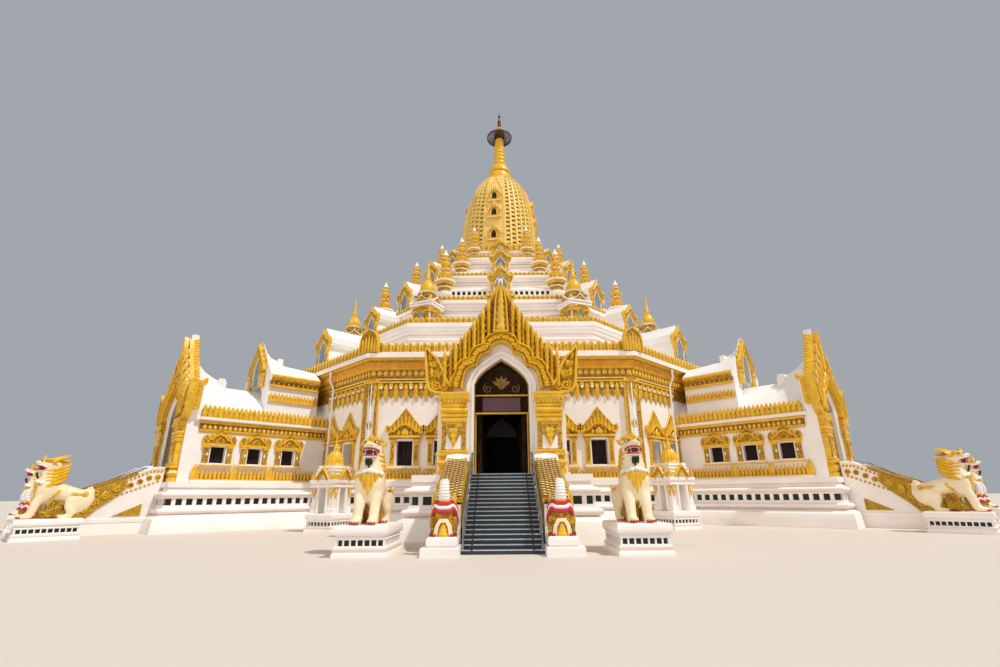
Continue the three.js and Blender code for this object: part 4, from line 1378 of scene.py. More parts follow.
def door_pilaster():
    """The moulded pilaster on the right of the doorway, with its capital."""
    made = Shape()
    u0, u1, front = 1.72, 2.86, 0.32
    lower = [
        (0.12, FLOOR), (0.12, 3.05), (0.02, 3.1), (0.1, 3.2), (0.16, 3.34), (0.1, 3.48), (0.02, 3.55),
        (0.02, 3.62), (0.14, 3.66), (0.14, 3.76), (0.06, 3.8), (0.1, 3.84), (0.1, 3.94), (0, 3.96),
    ]
    made.put(pier(u0, u1, 0.0, front, lower, "gold"))
    upper = [
        (0, 3.96), (0, 5.2), (0.05, 5.24), (0.05, 5.42), (0, 5.46), (0.08, 5.52), (0.08, 5.6), (0.0, 5.64),
        (0.08, 5.7), (0.11, 5.8), (0.08, 5.9), (0, 5.96), (0.06, 6.0), (0.06, 6.08), (0, 6.12), (0.02, 6.2),
        (0.12, 6.34), (0.14, 6.5), (0.1, 6.54), (0.14, 6.58), (0.14, 6.7),
    ]
    made.put(pier(u0, u1, 0.0, front, upper, "gold"))
    made.put(row(blob(0.035, "pale", 6, 2), u0, u1, 0.11, on_line(5.33, front + 0.06)))
    middle = (u0 + u1) / 2
    made.put(block(u0 + 0.2, u1 - 0.2, 3.98, 4.62, front, front + 0.02, "white"))
    drop = mirrored([(-0.42, 5.16), (-0.36, 4.75), (0, 4.05)])
    made.put(plate(drop, front, front + 0.1, "carved", 0.04, "gold"), move(middle))
    for i, v in enumerate((4.95, 4.7, 4.45)):
        made.put(leaf(0.5 - i * 0.12, 0.28, 0.06), move(middle, v, front + 0.08) @ UPSIDE_DOWN)
    for u in (u0 + 0.1, u1 - 0.1):
        made.put(block(u - 0.09, u + 0.09, 3.97, 5.2, front, front + 0.05, "carved"))
    for s, u in ((-1, u0 - 0.02), (1, u1 + 0.02)):
        made.put(scroll(0.15, 1.2, 0.05), move(u, 6.32, front + 0.1) @ scale(s, 1, 1))
    made.put(row(leaf(0.16, 0.22, 0.05), u0, u1, 0.18, on_line(6.18, front + 0.06)))
    made.put(row(leaf(0.14, 0.16, 0.05), u0, u1, 0.16, on_line(3.66, front + 0.13)))
    return made


def doorway():
    """The moulded opening, its dark head with a plain lotus, the transoms, and the inside in painted shade.
    """
    made = Shape()
    path = arch_line(DOOR_HALF, DOOR_SPRING, DOOR_APEX, FLOOR)
    folds = [
        (0, -0.6), (0, 0.05), (0.07, 0.1), (0.12, 0.1), (0.14, 0.03), (0.2, 0.03), (0.22, 0.16),
        (0.36, 0.16),
    ]
    made.put(sweep(path, folds + [(0.36, -0.1)], "white"))
    made.put(sweep(path, section(-0.03, 0.015, -0.3, -0.16), "gold"))
    low, high = TRANSOMS
    head = [(DOOR_HALF, high)] + [p for p in path[len(path) // 2 :] if p[1] > high][::-1]
    made.put(panel(head, -0.66, -0.5, "shutter"))
    for a in (-1.2, -0.6, 0, 0.6, 1.2):
        made.put(leaf(0.22, 0.5, 0.05, "dull"), move(0, 7.2, -0.5) @ spin(a))
    for i in range(12):
        made.put(leaf(0.12, 0.24, 0.04, "dull"), move(0, 7.18, -0.48) @ spin(i * math.pi / 6))
    for s in (-1, 1):
        made.put(scroll(0.24, 1.4, 0.025, "dull"), move(s * 0.7, 7.03, -0.5) @ scale(s, 1, 1))
    for v in TRANSOMS:
        made.put(block(-DOOR_HALF, DOOR_HALF, v - 0.03, v + 0.03, -0.66, -0.36, "gold"))
    made.put(blocks(
        (-DOOR_HALF, DOOR_HALF, low + 0.03, high - 0.04, -0.66, -0.56, "shutter"),
        (-0.94, 0.94, 5.87, 6.57, -0.58, -0.52, "mauve"),
    ))
    # gold posts, dark linings on the reveals as painted shade of the passage, and the folded door leaves
    side = blocks(
        (1.25, 1.3, FLOOR, DOOR_HEAD, -0.6, -0.4, "gold"),
        (1.3, DOOR_HALF, FLOOR, DOOR_HEAD, -2.3, -0.3, "dark"),
        (0.98, 1.2, FLOOR, DOOR_HEAD, -1.4, -0.75, "shutter"),
        (0.9, 0.93, FLOOR, DOOR_HEAD, -1.4, -1.36, "shutter"),
    )
    made.put(both(side))
    # the hall's inside as a black screen: painted shade
    made.put(block(-WING_HALF + 0.6, WING_HALF - 0.6, FLOOR, EAVE, -2.6, -2.45, "night"))
    # the inner wall's arched fanlight, a dark plate on the screen: painted shade
    light = arch_line(0.82, 4.95, 5.8, 4.83, 6)
    return made.put(plate(light[::-1], -2.5, -2.42, "dark"))


def great_arch():
    """The carved band over the doorway, with fronds on it."""
    made = cusped_band(BAND, 0.02, 0.5)
    for (lower, upper), (lower_next, upper_next) in zip(BAND, BAND[1:]):
        for t in (0.25, 0.75):
            inner_u, inner_v = (lower[i] + (lower_next[i] - lower[i]) * t for i in (0, 1))
            outer_u, outer_v = (upper[i] + (upper_next[i] - upper[i]) * t for i in (0, 1))
            across = math.atan2(inner_u - outer_u, outer_v - inner_v)
            for s, share in ((-1, 0.34), (1, 0.62)):
                at = move(
                    inner_u + (outer_u - inner_u) * share, inner_v + (outer_v - inner_v) * share, 0.38
                )
                frond = Shape().put(leaf(0.15, 0.26, 0.09), at @ spin(across + s * 1.1 + t))
                made.put(both(frond))
    return made


def gable_edge():
    """Half of the gable: its hooked cap with leaves, the blades, and the horn with its scrolls."""
    half = Shape()
    deep = -0.3
    hook = [
        (3.13, 6.9), (3.57, 7.2), (3.81, 8.98), (3.0, 7.87), (2.37, 8.91), (1.42, 10.36), (0.7, 11.46),
        (0.31, 12.12), (0.13, 12.5),
    ]
    cap = hook + [(0.02, 12.2), (0.55, 11.3), (1.3, 10.2), (2.2, 8.75), (2.9, 7.6), (3.1, 7.3)]
    half.put(plate(cap, deep, 0.1, "gold"))
    for (ua, va), (ub, vb) in zip(hook[3:], hook[4:]):
        count = max(1, round(math.hypot(ub - ua, vb - va) / 0.26))
        for i in range(count):
            t = (i + 0.5) / count
            at = (ua + (ub - ua) * t, va + (vb - va) * t, deep + 0.1)
            rise = ((ub - ua) * 0.5, (vb - va) * 0.5, -0.62 * math.hypot(ub - ua, vb - va))
            half.put(leaf(0.26, 0.42, 0.09), aim(at, rise, (vb - va, ua - ub, 0)))
    half.put(leaf(0.4, 0.6, 0.12), aim((3.66, 8.7, deep), (0.1, 1, -0.5), (1, 0, 0)))
    for i in range(6):
        v = 7.2 + 0.28 * i
        for w in (-0.2, 0.04):
            at = (3.58 + (v - 7.2) * 0.135, v, w)
            half.put(leaf(0.26, 0.42, 0.1), aim(at, (0.13, 1, -0.35), (1, -0.13, 0)))
    for i, (u, top) in enumerate(SPIKES):
        foot = read_off(BAND_TOP, u) - 0.12
        half.put(flame_blade(0.21, top + 0.14 - foot), move(u, foot, 0.1 + 0.12 * (i % 2)))
    horn = [
        (3.8, 9.0), (3.76, 8.1), (3.7, 7.2), (3.56, 6.8), (3.25, 6.62), (2.9, 6.6), (2.4, 6.85),
        (2.36, 7.1), (2.66, 7.4), (2.82, 7.9), (3.12, 8.45),
    ]
    half.put(plate(horn[::-1], 0, 0.26, "carved", 0, "gold"))
    rim = [
        (2.5, 7.0), (2.74, 7.34), (2.9, 7.86), (3.2, 8.4), (3.78, 8.96), (3.72, 8.1), (3.64, 7.2),
        (3.5, 6.86), (3.22, 6.7), (2.86, 6.68),
    ]
    half.put(sweep(rim, section(-0.09, 0.09, 0.1, 0.42, 0.03), "gold"))
    for u, v, r, s in (
        (3.18, 7.06, 0.26, 1), (2.84, 6.98, 0.2, -1), (3.3, 7.66, 0.2, -1), (3.42, 8.14, 0.14, 1)
    ):
        half.put(scroll(r, 1.4, 0.055), move(u, v, 0.26) @ scale(s, 1, 1))
    for u, v, a in (
        (3.1, 7.4, 0.3), (3.42, 7.5, -0.1), (3.3, 8.0, 0.2), (3.52, 8.35, -0.2), (2.95, 7.55, 0.1)
    ):
        half.put(leaf(0.2, 0.5, 0.1), move(u, v, 0.26) @ spin(a))
    return half


def porch():
    """The doorway under its gable, with a shaft of leaves in the middle and a pilaster on each side."""
    made = doorway().put(great_arch())
    backing = [
        (2.62, 7.1), (2.95, 7.8), (2.62, 8.3), (2.32, 8.72), (1.88, 9.3), (1.4, 10.05), (1.0, 10.66),
        (0.68, 11.15), (0.3, 11.9), (0, 12.45),
    ]
    # the ground behind the blades is a dark brown, so the gaps between them show as painted shade
    made.put(plate(mirrored(backing) + mirrored([(-u, v) for u, v in BAND_TOP[::-1]]), 0, 0.12, "ochre"))
    made.put(both(gable_edge()))
    shaft = [(0.36, 9.78), (0.31, 10.6), (0.27, 11.5), (0.16, 12.05), (0, 12.6)]
    made.put(panel(shaft, 0.05, 0.36, "carved", 0, "gold"))
    made.put(sweep(mirrored([(-u, v) for u, v in shaft]), section(-0.03, 0.04, 0.2, 0.42), "gold"))
    made.put(block(-0.4, 0.4, 9.74, 9.84, 0.1, 0.52, "gold"))
    for i in range(7):
        made.put(leaf(0.44 - i * 0.035, 0.5, 0.12), move(0, 9.88 + i * 0.34, 0.36))
    made.put(both(door_pilaster()))
    return made


def high_gable():
    """The face of the higher roof over the wing: a gold frame round a blue-grey niche."""
    made = Shape()
    niche = arch_line(0.62, 11.2, 12.1, 9.9, 6)
    made.put(plate(niche[::-1], 0, 0.04, "blue"))
    made.put(sweep(niche, section(0, 0.1, 0, 0.14), "white"))
    frame_line = [
        ((0, 12.3), (0, 13.15)), ((0.3, 11.95), (0.42, 12.55)), ((0.62, 11.6), (0.84, 12.05)),
        ((0.74, 11.2), (1.2, 11.6)), ((0.8, 10.9), (1.5, 11.3)), ((0.8, 10.4), (1.55, 10.9)),
    ]
    made.put(cusped_band(frame_line, 0.0, 0.28))
    side = Shape()
    steps = [(0.06, 9.6), (0.06, 9.8), (0, 9.85), (0, 10.4), (0.08, 10.45), (0.08, 10.6)]
    side.put(pier(0.86, 1.5, 0, 0.18, steps, "gold"))
    for u, v in ((0.5, 12.3), (0.92, 11.86), (1.3, 11.46)):
        side.put(leaf(0.3, 0.55, 0.12), move(u, v, 0.05))
    made.put(both(side))
    made.put(leaf(0.4, 0.9, 0.16), move(0, 12.5, 0.05))
    return made


# Stairs, their sloping sides and the guardians at their feet
CHEEK_TOP = [
    (LANDING, 3.74), (32.1, 3.7), (32.75, 3.38), (33.4, 3.06), (34.06, 2.77), (35.0, 2.38),
    (CHEEK_FOOT, 1.75),
]


def cheek_height(r):
    return read_off(CHEEK_TOP, r)


def along_wing(shape):
    """From x, outward distance and z to the front wing's own place."""
    return Shape().put(shape, Matrix(((1, 0, 0, 0), (0, -1, 0, 0), (0, 0, 1, 0), (0, 0, 0, 1))))


def box_rings(x0, x1, r0, r1, profile, paints):
    """A rectangle in x and outward distance, lofted up a profile of offset and height."""
    rings = []
    for g, z in profile:
        rings.append([(x0 - g, r0 - g, z), (x1 + g, r0 - g, z), (x1 + g, r1 + g, z), (x0 - g, r1 + g, z)])
    return loft(rings, paints)


def flight():
    """Nineteen steps with light nosings between darker side strips."""
    made = Shape()
    for i in range(RISERS):
        front = STAIR_FOOT - i * GOING
        top = (i + 1) * RISE
        back = LANDING if i == RISERS - 1 else front - GOING
        step = [(0, max(top - RISE - 0.2, 0)), (0, top)]
        made.put(box_rings(-STAIR_HALF, STAIR_HALF, back, front, step, "slate"))
        middle = [(0, top - 0.03), (0, top + 0.006)]
        made.put(box_rings(-1.02, 1.02, front - 0.04, front + 0.012, middle, "nosing"))
        end = [(0, top - 0.03), (0, top + 0.005)]
        for x0, x1 in ((-1.42, -1.08), (1.08, 1.42)):
            made.put(box_rings(x0, x1, front - 0.03, front + 0.008, end, "nosing"))
    return along_wing(made)


def tread_height(r):
    """How high the stair's slope is at a distance from the spire."""
    return min(FLOOR, max(0, ((STAIR_FOOT - r) / GOING + 1) * RISE))


def handrails():
    """Two rails on each side of the stair, on thin posts."""
    made = Shape()
    foot, head, rail = 36.9, 32.3, 0.92
    for x in (-1.34, 1.34):
        for up in (0.45, rail):
            path = [(x, foot + 0.25, up - 0.25), (x, foot, tread_height(foot) + up), (x, head, FLOOR + up)]
            made.put(tube(path + [(x, 31.6, FLOOR + up)], 0.03, "steel"))
        for r in np.linspace(foot, 31.7, 8):
            made.put(tube([(x, r, tread_height(r) - 0.1), (x, r, tread_height(r) + rail)], 0.022, "steel"))
    return along_wing(made)


def flank():
    """What is on the outer face of a stair's side: squares, rosettes, a triangle and a band of scrolls."""
    made = Shape()
    tile = [(-0.06, -0.06), (0.06, -0.06), (0.06, 0.06), (-0.06, 0.06)]
    square = plate(tile, 0, 0.05, "carved", 0.02, "gold")
    rosette = plate(circle(0.16, 10), 0, 0.04, "gold")
    for i in range(8):
        rosette.put(leaf(0.1, 0.15, 0.05, "carved"), move(0, 0, 0.03) @ spin(i * math.pi / 4))
    for i in range(13):
        r = 31.6 + i * 0.18
        made.put(square, move(r, cheek_height(r) - 0.28, 0))
    for i in range(5):
        r = 31.75 + i * 0.42
        made.put(rosette, move(r, cheek_height(r) - 0.62, 0))
    for i in range(10):
        r = 31.72 + i * 0.2
        made.put(square, move(r, 2.86 - i * 0.088, 0))
    made.put(plate([(32.27, 0.95), (33.6, 0.95), (32.27, 1.6)], 0, 0.06, "relief", 0.0, "gold"))
    band = [
        (33.1, 2.6), (33.7, 1.9), (34.3, 1.4), (34.75, 0.9), (CHEEK_FOOT, 0.9), (CHEEK_FOOT, 1.6),
        (35.0, 2.26), (34.06, 2.64), (33.4, 2.96),
    ]
    made.put(plate(band, 0, 0.1, "relief", 0, "gold"))
    curl = scroll(0.2, 1.4, 0.05)
    eyes = [(33.65, 2.45), (34.1, 2.1), (34.55, 1.7), (34.9, 1.3), (34.6, 2.2), (35.05, 1.85), (35.4, 1.45)]
    for i, (u, v) in enumerate(eyes + [(35.8, 1.3), (35.75, 1.75), (35.3, 1.05), (36.05, 1.05)]):
        made.put(curl, move(u, v, 0.08) @ spin(i * 1.3) @ scale((-1) ** i, 1, 1))
        made.put(leaf(0.16, 0.34, 0.07), move(u + 0.1, v - 0.05, 0.1) @ spin(0.8 - i * 0.5))
    return made


def cheek():
    """The right-hand sloping side of a stair: its white head, then a ridge covered in scales."""
    made = Shape()
    x0, x1 = CHEEK_INNER, CHEEK_OUTER
    outline = [(LANDING, 0.0), (CHEEK_FOOT, 0.0)] + [(r, z - 0.1) for r, z in CHEEK_TOP[::-1]]
    made.put(loft([[(x, r, z) for r, z in outline] for x in (x0, x1)], "white"))
    made.paints[-2] = "relief"
    skirting = [(0, 0), (0, 0.5), (-0.02, 0.56), (0.02, 0.62), (0.02, 0.8), (-0.04, 0.86)]
    made.put(box_rings(x0 + 0.02, x1 + 0.06, LANDING, CHEEK_FOOT, skirting, "white"))
    ridge = [
        (x0 - 0.04, -0.16), (x1 + 0.04, -0.16), (x1 + 0.05, -0.06), ((x0 + x1) / 2, 0), (x0 - 0.05, -0.06),
    ]
    slopes = ["white"] * 2 + ["carved"] * (len(CHEEK_TOP) - 3)
    for paint, *ends in zip(slopes, CHEEK_TOP, CHEEK_TOP[1:]):
        made.put(loft([[(x, r, z + drop) for x, drop in ridge] for r, z in ends], paint))
    scale_points = [
        (-0.076, 0, 0.03), (0.076, 0, 0.03), (0.076, 0.13, 0.07), (0, 0.22, 0.085), (-0.076, 0.13, 0.07),
    ]
    scale_faces = [(0, 1, 2, 3, 4), (1, 0, 5), (2, 1, 5), (3, 2, 5), (4, 3, 5), (0, 4, 5)]
    one_scale = Shape().add(scale_points + [(0, 0.06, -0.04)], scale_faces, "scale")
    for r in np.arange(32.7, 36.25, 0.2):
        slope = math.atan2(cheek_height(r + 0.1) - cheek_height(r), 0.1)
        for j in range(6):
            x = x0 + (j + 0.5) * (x1 - x0) / 6
            aside = abs(j - 2.5)
            place = r - aside * 0.09
            made.put(one_scale, move(x, place, cheek_height(place) - 0.01 - aside * 0.012) @ about_x(slope))
    on_flank = Matrix(((0, 0, 1, x1), (1, 0, 0, 0), (0, 1, 0, 0), (0, 0, 0, 1)))
    return made.put(flank(), on_flank)


def on_front(r):
    """Local u across and v up, on a front that looks outwards along a wing."""
    return Matrix(((1, 0, 0, 0), (0, 0, 1, r), (0, 1, 0, 0), (0, 0, 0, 1)))


def painted_body():
    """A round gold body with drooping stripes, legs, a ringed white crest and a tail."""
    outline = [
        (0.38, 0.6), (0.4, 0.72), (0.37, 1.0), (0.38, 1.25), (0.37, 1.5), (0.32, 1.68), (0.27, 1.8),
        (0.12, 1.9),
    ]
    made = turned(outline, 20, "carved")
    radii = [(z, r) for r, z in outline]
    for level, thick, paint in (
        (1.72, 0.06, "gold"), (1.62, 0.07, "red"), (1.5, 0.07, "white"), (1.38, 0.075, "red")
    ):
        path = []
        for turn in range(-104, 105, 13):
            lift = 0.08 * math.exp(-(((abs(turn) - 48) / 16) ** 2))
            z = level + lift - 0.4 * max(0, (abs(turn) - 58) / 46) ** 1.2
            r, a = read_off(radii, z) + 0.03, math.radians(turn)
            path.append((r * math.sin(a), r * math.cos(a), z))
        made.put(tube(path, thick, paint, 8))
    rings = []
    for i in range(15):
        t = i / 14
        wide = (0.2 - 0.05 * t) * (1.08 if i % 2 else 0.94) * (0.55 if i == 14 else 1)
        out = 0.24 + 0.08 * math.sin(t * math.pi) - 0.02 * t
        rings.append([(x, out + 0.8 * y, 1.74 + 0.7 * t) for x, y in circle(wide, 10)])
    made.put(loft(rings, "white"))
    # the pale arch with a gold bell on the chest
    pale_arch = [(-0.22, 0.6), (-0.17, 0.9), (-0.08, 1.06), (0.08, 1.06), (0.17, 0.9), (0.22, 0.6)]
    bevelled = [(-0.02, -0.14), (0.11, -0.14), (0.11, 0.02), (-0.02, 0.05)]
    made.put(sweep(pale_arch, bevelled, "cream"), on_front(0.38))
    bell = [
        (0.19, 0.6), (0.19, 0.68), (0.15, 0.72), (0.14, 0.8), (0.1, 0.9), (0.1, 0.94), (0.05, 0.98),
        (0.012, 1.1),
    ]
    made.put(turned(bell, 12, "gold"), move(0, 0.34))
    for s in (-1, 1):
        leg = [(s * 0.32, 0.14, 1.2), (s * 0.37, 0.2, 0.92), (s * 0.36, 0.32, 0.68)]
        made.put(tube(leg, [0.11, 0.1, 0.1], "carved", 8))
        for j in range(3):
            toe = move(s * (0.27 + 0.08 * j), 0.46 - 0.07 * j, 0.64)
            made.put(blob(0.05, "red", 6, 3), toe @ scale(1, 1.6, 1))
        made.put(blob(0.06, "white", 8, 3), move(s * 0.22, 0.28, 1.82))
        made.put(blob(0.035, "black", 6, 3), move(s * 0.23, 0.33, 1.83))
        turned_up = spin(-s * 0.9) @ about_x(math.pi / 2) @ scale(1, 1, -1)
        made.put(leaf(0.24, 0.42, 0.08), move(s * 0.3, -0.1, 1.62) @ turned_up)
    tail = [(0, -0.58, 1.6), (0, -0.66, 1.95), (0, -0.56, 2.2), (0, -0.4, 2.36), (0, -0.48, 2.52)]
    return made.put(tube(tail, [0.18, 0.15, 0.12, 0.08, 0.03], "gold", 8))


def guardian():
    """The painted guardian at the foot of a stair side, on a white step and a cushion."""
    made = box_rings(1.42, 2.68, 36.25, 37.75, [(0, 0), (0, 0.26), (-0.03, 0.29)], "white")
    cushion = [(-0.08, 0.29), (-0.02, 0.33), (0.0, 0.42), (-0.02, 0.54), (-0.08, 0.6)]
    made.put(box_rings(1.48, 2.52, 36.3, 37.58, cushion, "white"))
    return made.put(painted_body(), move(1.98, 36.98))


# Lions: x across, then the distance from the spire and the height
def pedestal(x0, x1, r0, r1, top, vents_x, vents_r):
    """A moulded white pedestal with a row of dark vents on each side."""
    made = Shape()
    low, high = 0.35, 0.53
    profile = [
        (0, 0), (0, 0.08), (-0.02, 0.13), (-0.06, 0.18), (-0.03, 0.2), (-0.02, 0.25), (-0.04, 0.3),
        (-0.08, 0.31), (-0.08, 0.335), (-0.12, low), (-0.18, low), (-0.18, high), (-0.1, high),
        (-0.06, 0.57), (-0.08, 0.61), (-0.11, 0.64), (-0.03, 0.68), (0.0, 0.74), (0.0, 0.82 * top),
        (0.0, 0.93 * top), (-0.05, top),
    ]
    paints = ["white"] * (len(profile) - 1)
    # two faces of the foot moulding are painted pinker, as painted shade
    paints[4] = paints[5] = "blush"
    paints[profile.index((-0.18, low))] = "vent"
    made.put(box_rings(x0, x1, r0, r1, profile, paints))
    thin, deep, edge = 0.026, 0.04, 0.13
    left, right, back, front = x0 + edge, x1 - edge, r0 + edge, r1 - edge
    upright_post = [(0, low - 0.01), (0, high + 0.01)]
    for x in np.linspace(left, right, vents_x + 1):
        for r in (back, front):
            made.put(box_rings(x - thin, x + thin, r - deep, r + deep, upright_post, "white"))
    for r in np.linspace(back, front, vents_r + 1):
        for x in (left, right):
            made.put(box_rings(x - deep, x + deep, r - thin, r + thin, upright_post, "white"))
    return made


def ellipsoid(centre, radii, paint="cream", turn=0.0, sides=14, rings=9):
    profile = [(math.cos(t), math.sin(t)) for t in np.linspace(-1.5, 1.5, rings)]
    return Shape().put(turned(profile, sides, paint), move(*centre) @ about_x(turn) @ scale(*radii))


def organic(parts):
    """The parts melted into one smooth skin."""
    mesh = bpy.data.meshes.new("melt")
    mesh.from_pydata(parts.points, [], parts.faces)
    obj = bpy.data.objects.new("melt", mesh)
    bpy.context.scene.collection.objects.link(obj)
    remesh = obj.modifiers.new("remesh", "REMESH")
    remesh.mode = "VOXEL"
    remesh.voxel_size = 0.06
    soften = obj.modifiers.new("soften", "SMOOTH")
    soften.iterations = 3
    soften.factor = 0.6
    graph = bpy.context.evaluated_depsgraph_get()
    melted = bpy.data.meshes.new_from_object(obj.evaluated_get(graph))
    made = Shape().add(
        [tuple(v.co) for v in melted.vertices], [tuple(p.vertices) for p in melted.polygons], "cream"
    )
    bpy.data.objects.remove(obj)
    bpy.data.meshes.remove(melted)
    return made


def lion_paint(x, r, z):
    """Where the cream coat gives way to gold and white."""
    if z > 3.84 and r < 37.3:
        return "gold"
    behind_leg = abs((r - 36.3) * 0.86 + (z - 2.4) * 0.52)
    if abs(x) > 0.3 and 1.35 < z < 2.4 and behind_leg < 0.075 and r > 36.25:
        return "gold"
    if abs(x) > 0.34 and abs(z - 2.62 + (r - 36.6) * 0.25) < 0.08 and 36.2 < r < 36.95:
        return "gold"
    return "cream"


def lion_body():
    """Chest, back, haunches, legs, muzzle and tail, melted together."""
    flesh = ellipsoid((0, 36.85, 2.4), (0.5, 0.44, 0.72))
    flesh.put(tube([(0, 36.7, 2.4), (0, 36.0, 2.2), (0, 35.4, 2.0)], [0.48, 0.39, 0.4], "cream", 12))
    flesh.put(ellipsoid((0, 35.3, 1.95), (0.42, 0.46, 0.44)))
    flesh.put(tube([(0, 36.85, 2.7), (0, 36.8, 3.2), (0, 36.85, 3.55)], [0.47, 0.4, 0.34], "cream", 12))
    for s in (-1, 1):
        flesh.put(ellipsoid((s * 0.32, 36.85, 2.36), (0.22, 0.4, 0.52)))
        leg = [(s * 0.29, 36.95, 2.2), (s * 0.28, 37.12, 1.7), (s * 0.27, 37.24, 1.2)]
        flesh.put(tube(leg, [0.23, 0.19, 0.165], "cream", 12))
        flesh.put(ellipsoid((s * 0.28, 37.38, 1.15), (0.2, 0.3, 0.12)))
        flesh.put(ellipsoid((s * 0.3, 35.5, 1.76), (0.23, 0.58, 0.48), turn=-0.4))
        shank = [(s * 0.35, 35.85, 1.6), (s * 0.37, 35.74, 1.35), (s * 0.37, 35.68, 1.16)]
        flesh.put(tube(shank, [0.2, 0.17, 0.15], "cream", 10))
        flesh.put(ellipsoid((s * 0.37, 35.96, 1.1), (0.17, 0.36, 0.12)))
    flesh.put(ellipsoid((0, 36.85, 3.68), (0.35, 0.42, 0.33)))
    flesh.put(ellipsoid((0, 37.15, 3.78), (0.27, 0.36, 0.15), turn=0.1))
    flesh.put(ellipsoid((0, 37.42, 3.86), (0.14, 0.12, 0.11)))
    flesh.put(ellipsoid((0, 37.08, 3.33), (0.22, 0.34, 0.1), turn=-0.08))
    tail = [(0, 35.08, 2.1), (0, 34.96, 2.32), (0, 35.06, 2.5), (0.06, 35.25, 2.46)]
    flesh.put(tube(tail, [0.13, 0.11, 0.1, 0.06], "cream", 8))
    made = organic(flesh)
    for i, face in enumerate(made.faces):
        centre = [sum(made.points[j][axis] for j in face) / len(face) for axis in range(3)]
        made.paints[i] = lion_paint(*centre)
    return made


def lion_head():
    """Open mouth with teeth, painted lips, eyes, brows, beard and the flame crest."""
    made = ellipsoid((0, 37.08, 3.54), (0.22, 0.3, 0.12), "mauve")
    for paint, rise, out in (("white", 0.045, 0.0), ("red", 0.0, 0.025)):
        upper = [(-0.25, 36.98, 3.5), (-0.27, 37.16, 3.62 + rise), (-0.17, 37.38 + out, 3.68 + rise)]
        lower = [(-0.24, 36.98, 3.44), (-0.2, 37.26, 3.42 - rise), (-0.1, 37.4 + out, 3.42 - rise)]
        for lip in (upper, lower):
            made.put(tube(lip + [(-x, r, z) for x, r, z in lip[::-1]], 0.035, paint, 6))
    for s in (-1, 1):
        for x, r, z, down in (
            (0.14, 37.37, 3.66, -0.12), (0.05, 37.41, 3.67, -0.06), (0.13, 37.34, 3.44, 0.1)
        ):
            fang = [
                (s * x - 0.03, r, z), (s * x + 0.03, r, z), (s * x, r - 0.05, z),
                (s * x, r - 0.02, z + down),
            ]
            made.add(fang, [(0, 1, 3), (1, 2, 3), (2, 0, 3), (0, 2, 1)], "white")
        made.put(ellipsoid((s * 0.17, 37.22, 3.93), (0.075, 0.07, 0.065), "white", 0, 8, 5))
        made.put(ellipsoid((s * 0.18, 37.28, 3.93), (0.04, 0.03, 0.04), "black", 0, 8, 5))
        brow = [
            (s * 0.05, 37.3, 3.97), (s * 0.17, 37.26, 4.04), (s * 0.3, 37.06, 4.02), (s * 0.38, 36.8, 3.95),
        ]
        made.put(tube(brow, [0.035, 0.055, 0.055, 0.02], "gold", 6))
        made.put(leaf(0.2, 0.36, 0.08), aim((s * 0.33, 36.86, 3.82), (s * 0.3, -0.6, 0.5), (s, 0, 0.2)))
        for j, (r, z) in enumerate(((37.1, 4.06), (36.95, 4.08), (37.02, 4.0))):
            made.put(blob(0.045, "pale", 6, 2), move(s * (0.1 + 0.07 * (j % 2)), r, z))
    for x, r, z, tall, along in (
        (0, 37.12, 3.98, 0.3, (0, 0.1, 1)),
        (0, 36.95, 3.95, 0.85, (0, -0.95, 0.36)),
        (-0.16, 36.95, 3.92, 0.75, (-0.1, -0.95, 0.26)),
        (0.16, 36.95, 3.92, 0.75, (0.1, -0.95, 0.26)),
        (0, 36.75, 3.85, 0.7, (0, -1, 0.1)),
    ):
        made.put(leaf(0.26, tall, 0.14), aim((x, r, z), along, (0, 0.4, 1)))
    for x, tall in ((-0.06, 0.32), (0, 0.45), (0.06, 0.32)):
        made.put(leaf(0.13, tall, 0.08, "black"), aim((x, 37.36, 3.3), (x * 2, -0.35, -1), (0, 1, -0.3)))
    return made


def lion_mane():
    """Locks that leave the jaw, sweep back round the neck and turn up at their tips."""
    made = Shape()
    for tier in range(5):
        z = 3.6 - tier * 0.19
        reach = 0.29 + tier * 0.025
        for s in (-1, 1):
            path = [
                (s * 0.16, 37.14, z - 0.14),
                (s * reach, 36.94, z - 0.2),
                (s * (reach + 0.03), 36.68, z - 0.15),
                (s * (reach - 0.05), 36.4, z),
                (s * (reach - 0.14), 36.2 + tier * 0.02, z + 0.12),
                (s * (reach - 0.17), 36.14 + tier * 0.02, z + 0.3),
            ]
            made.put(tube(path, [0.03, 0.08, 0.1, 0.095, 0.07, 0.012], "gold", 7))
        back = [(0, 36.7, z), (0, 36.44, z - 0.02), (0, 36.22, z + 0.08), (0, 36.14, z + 0.26)]
        made.put(tube(back, [0.14, 0.12, 0.08, 0.012], "gold", 7))
    return made


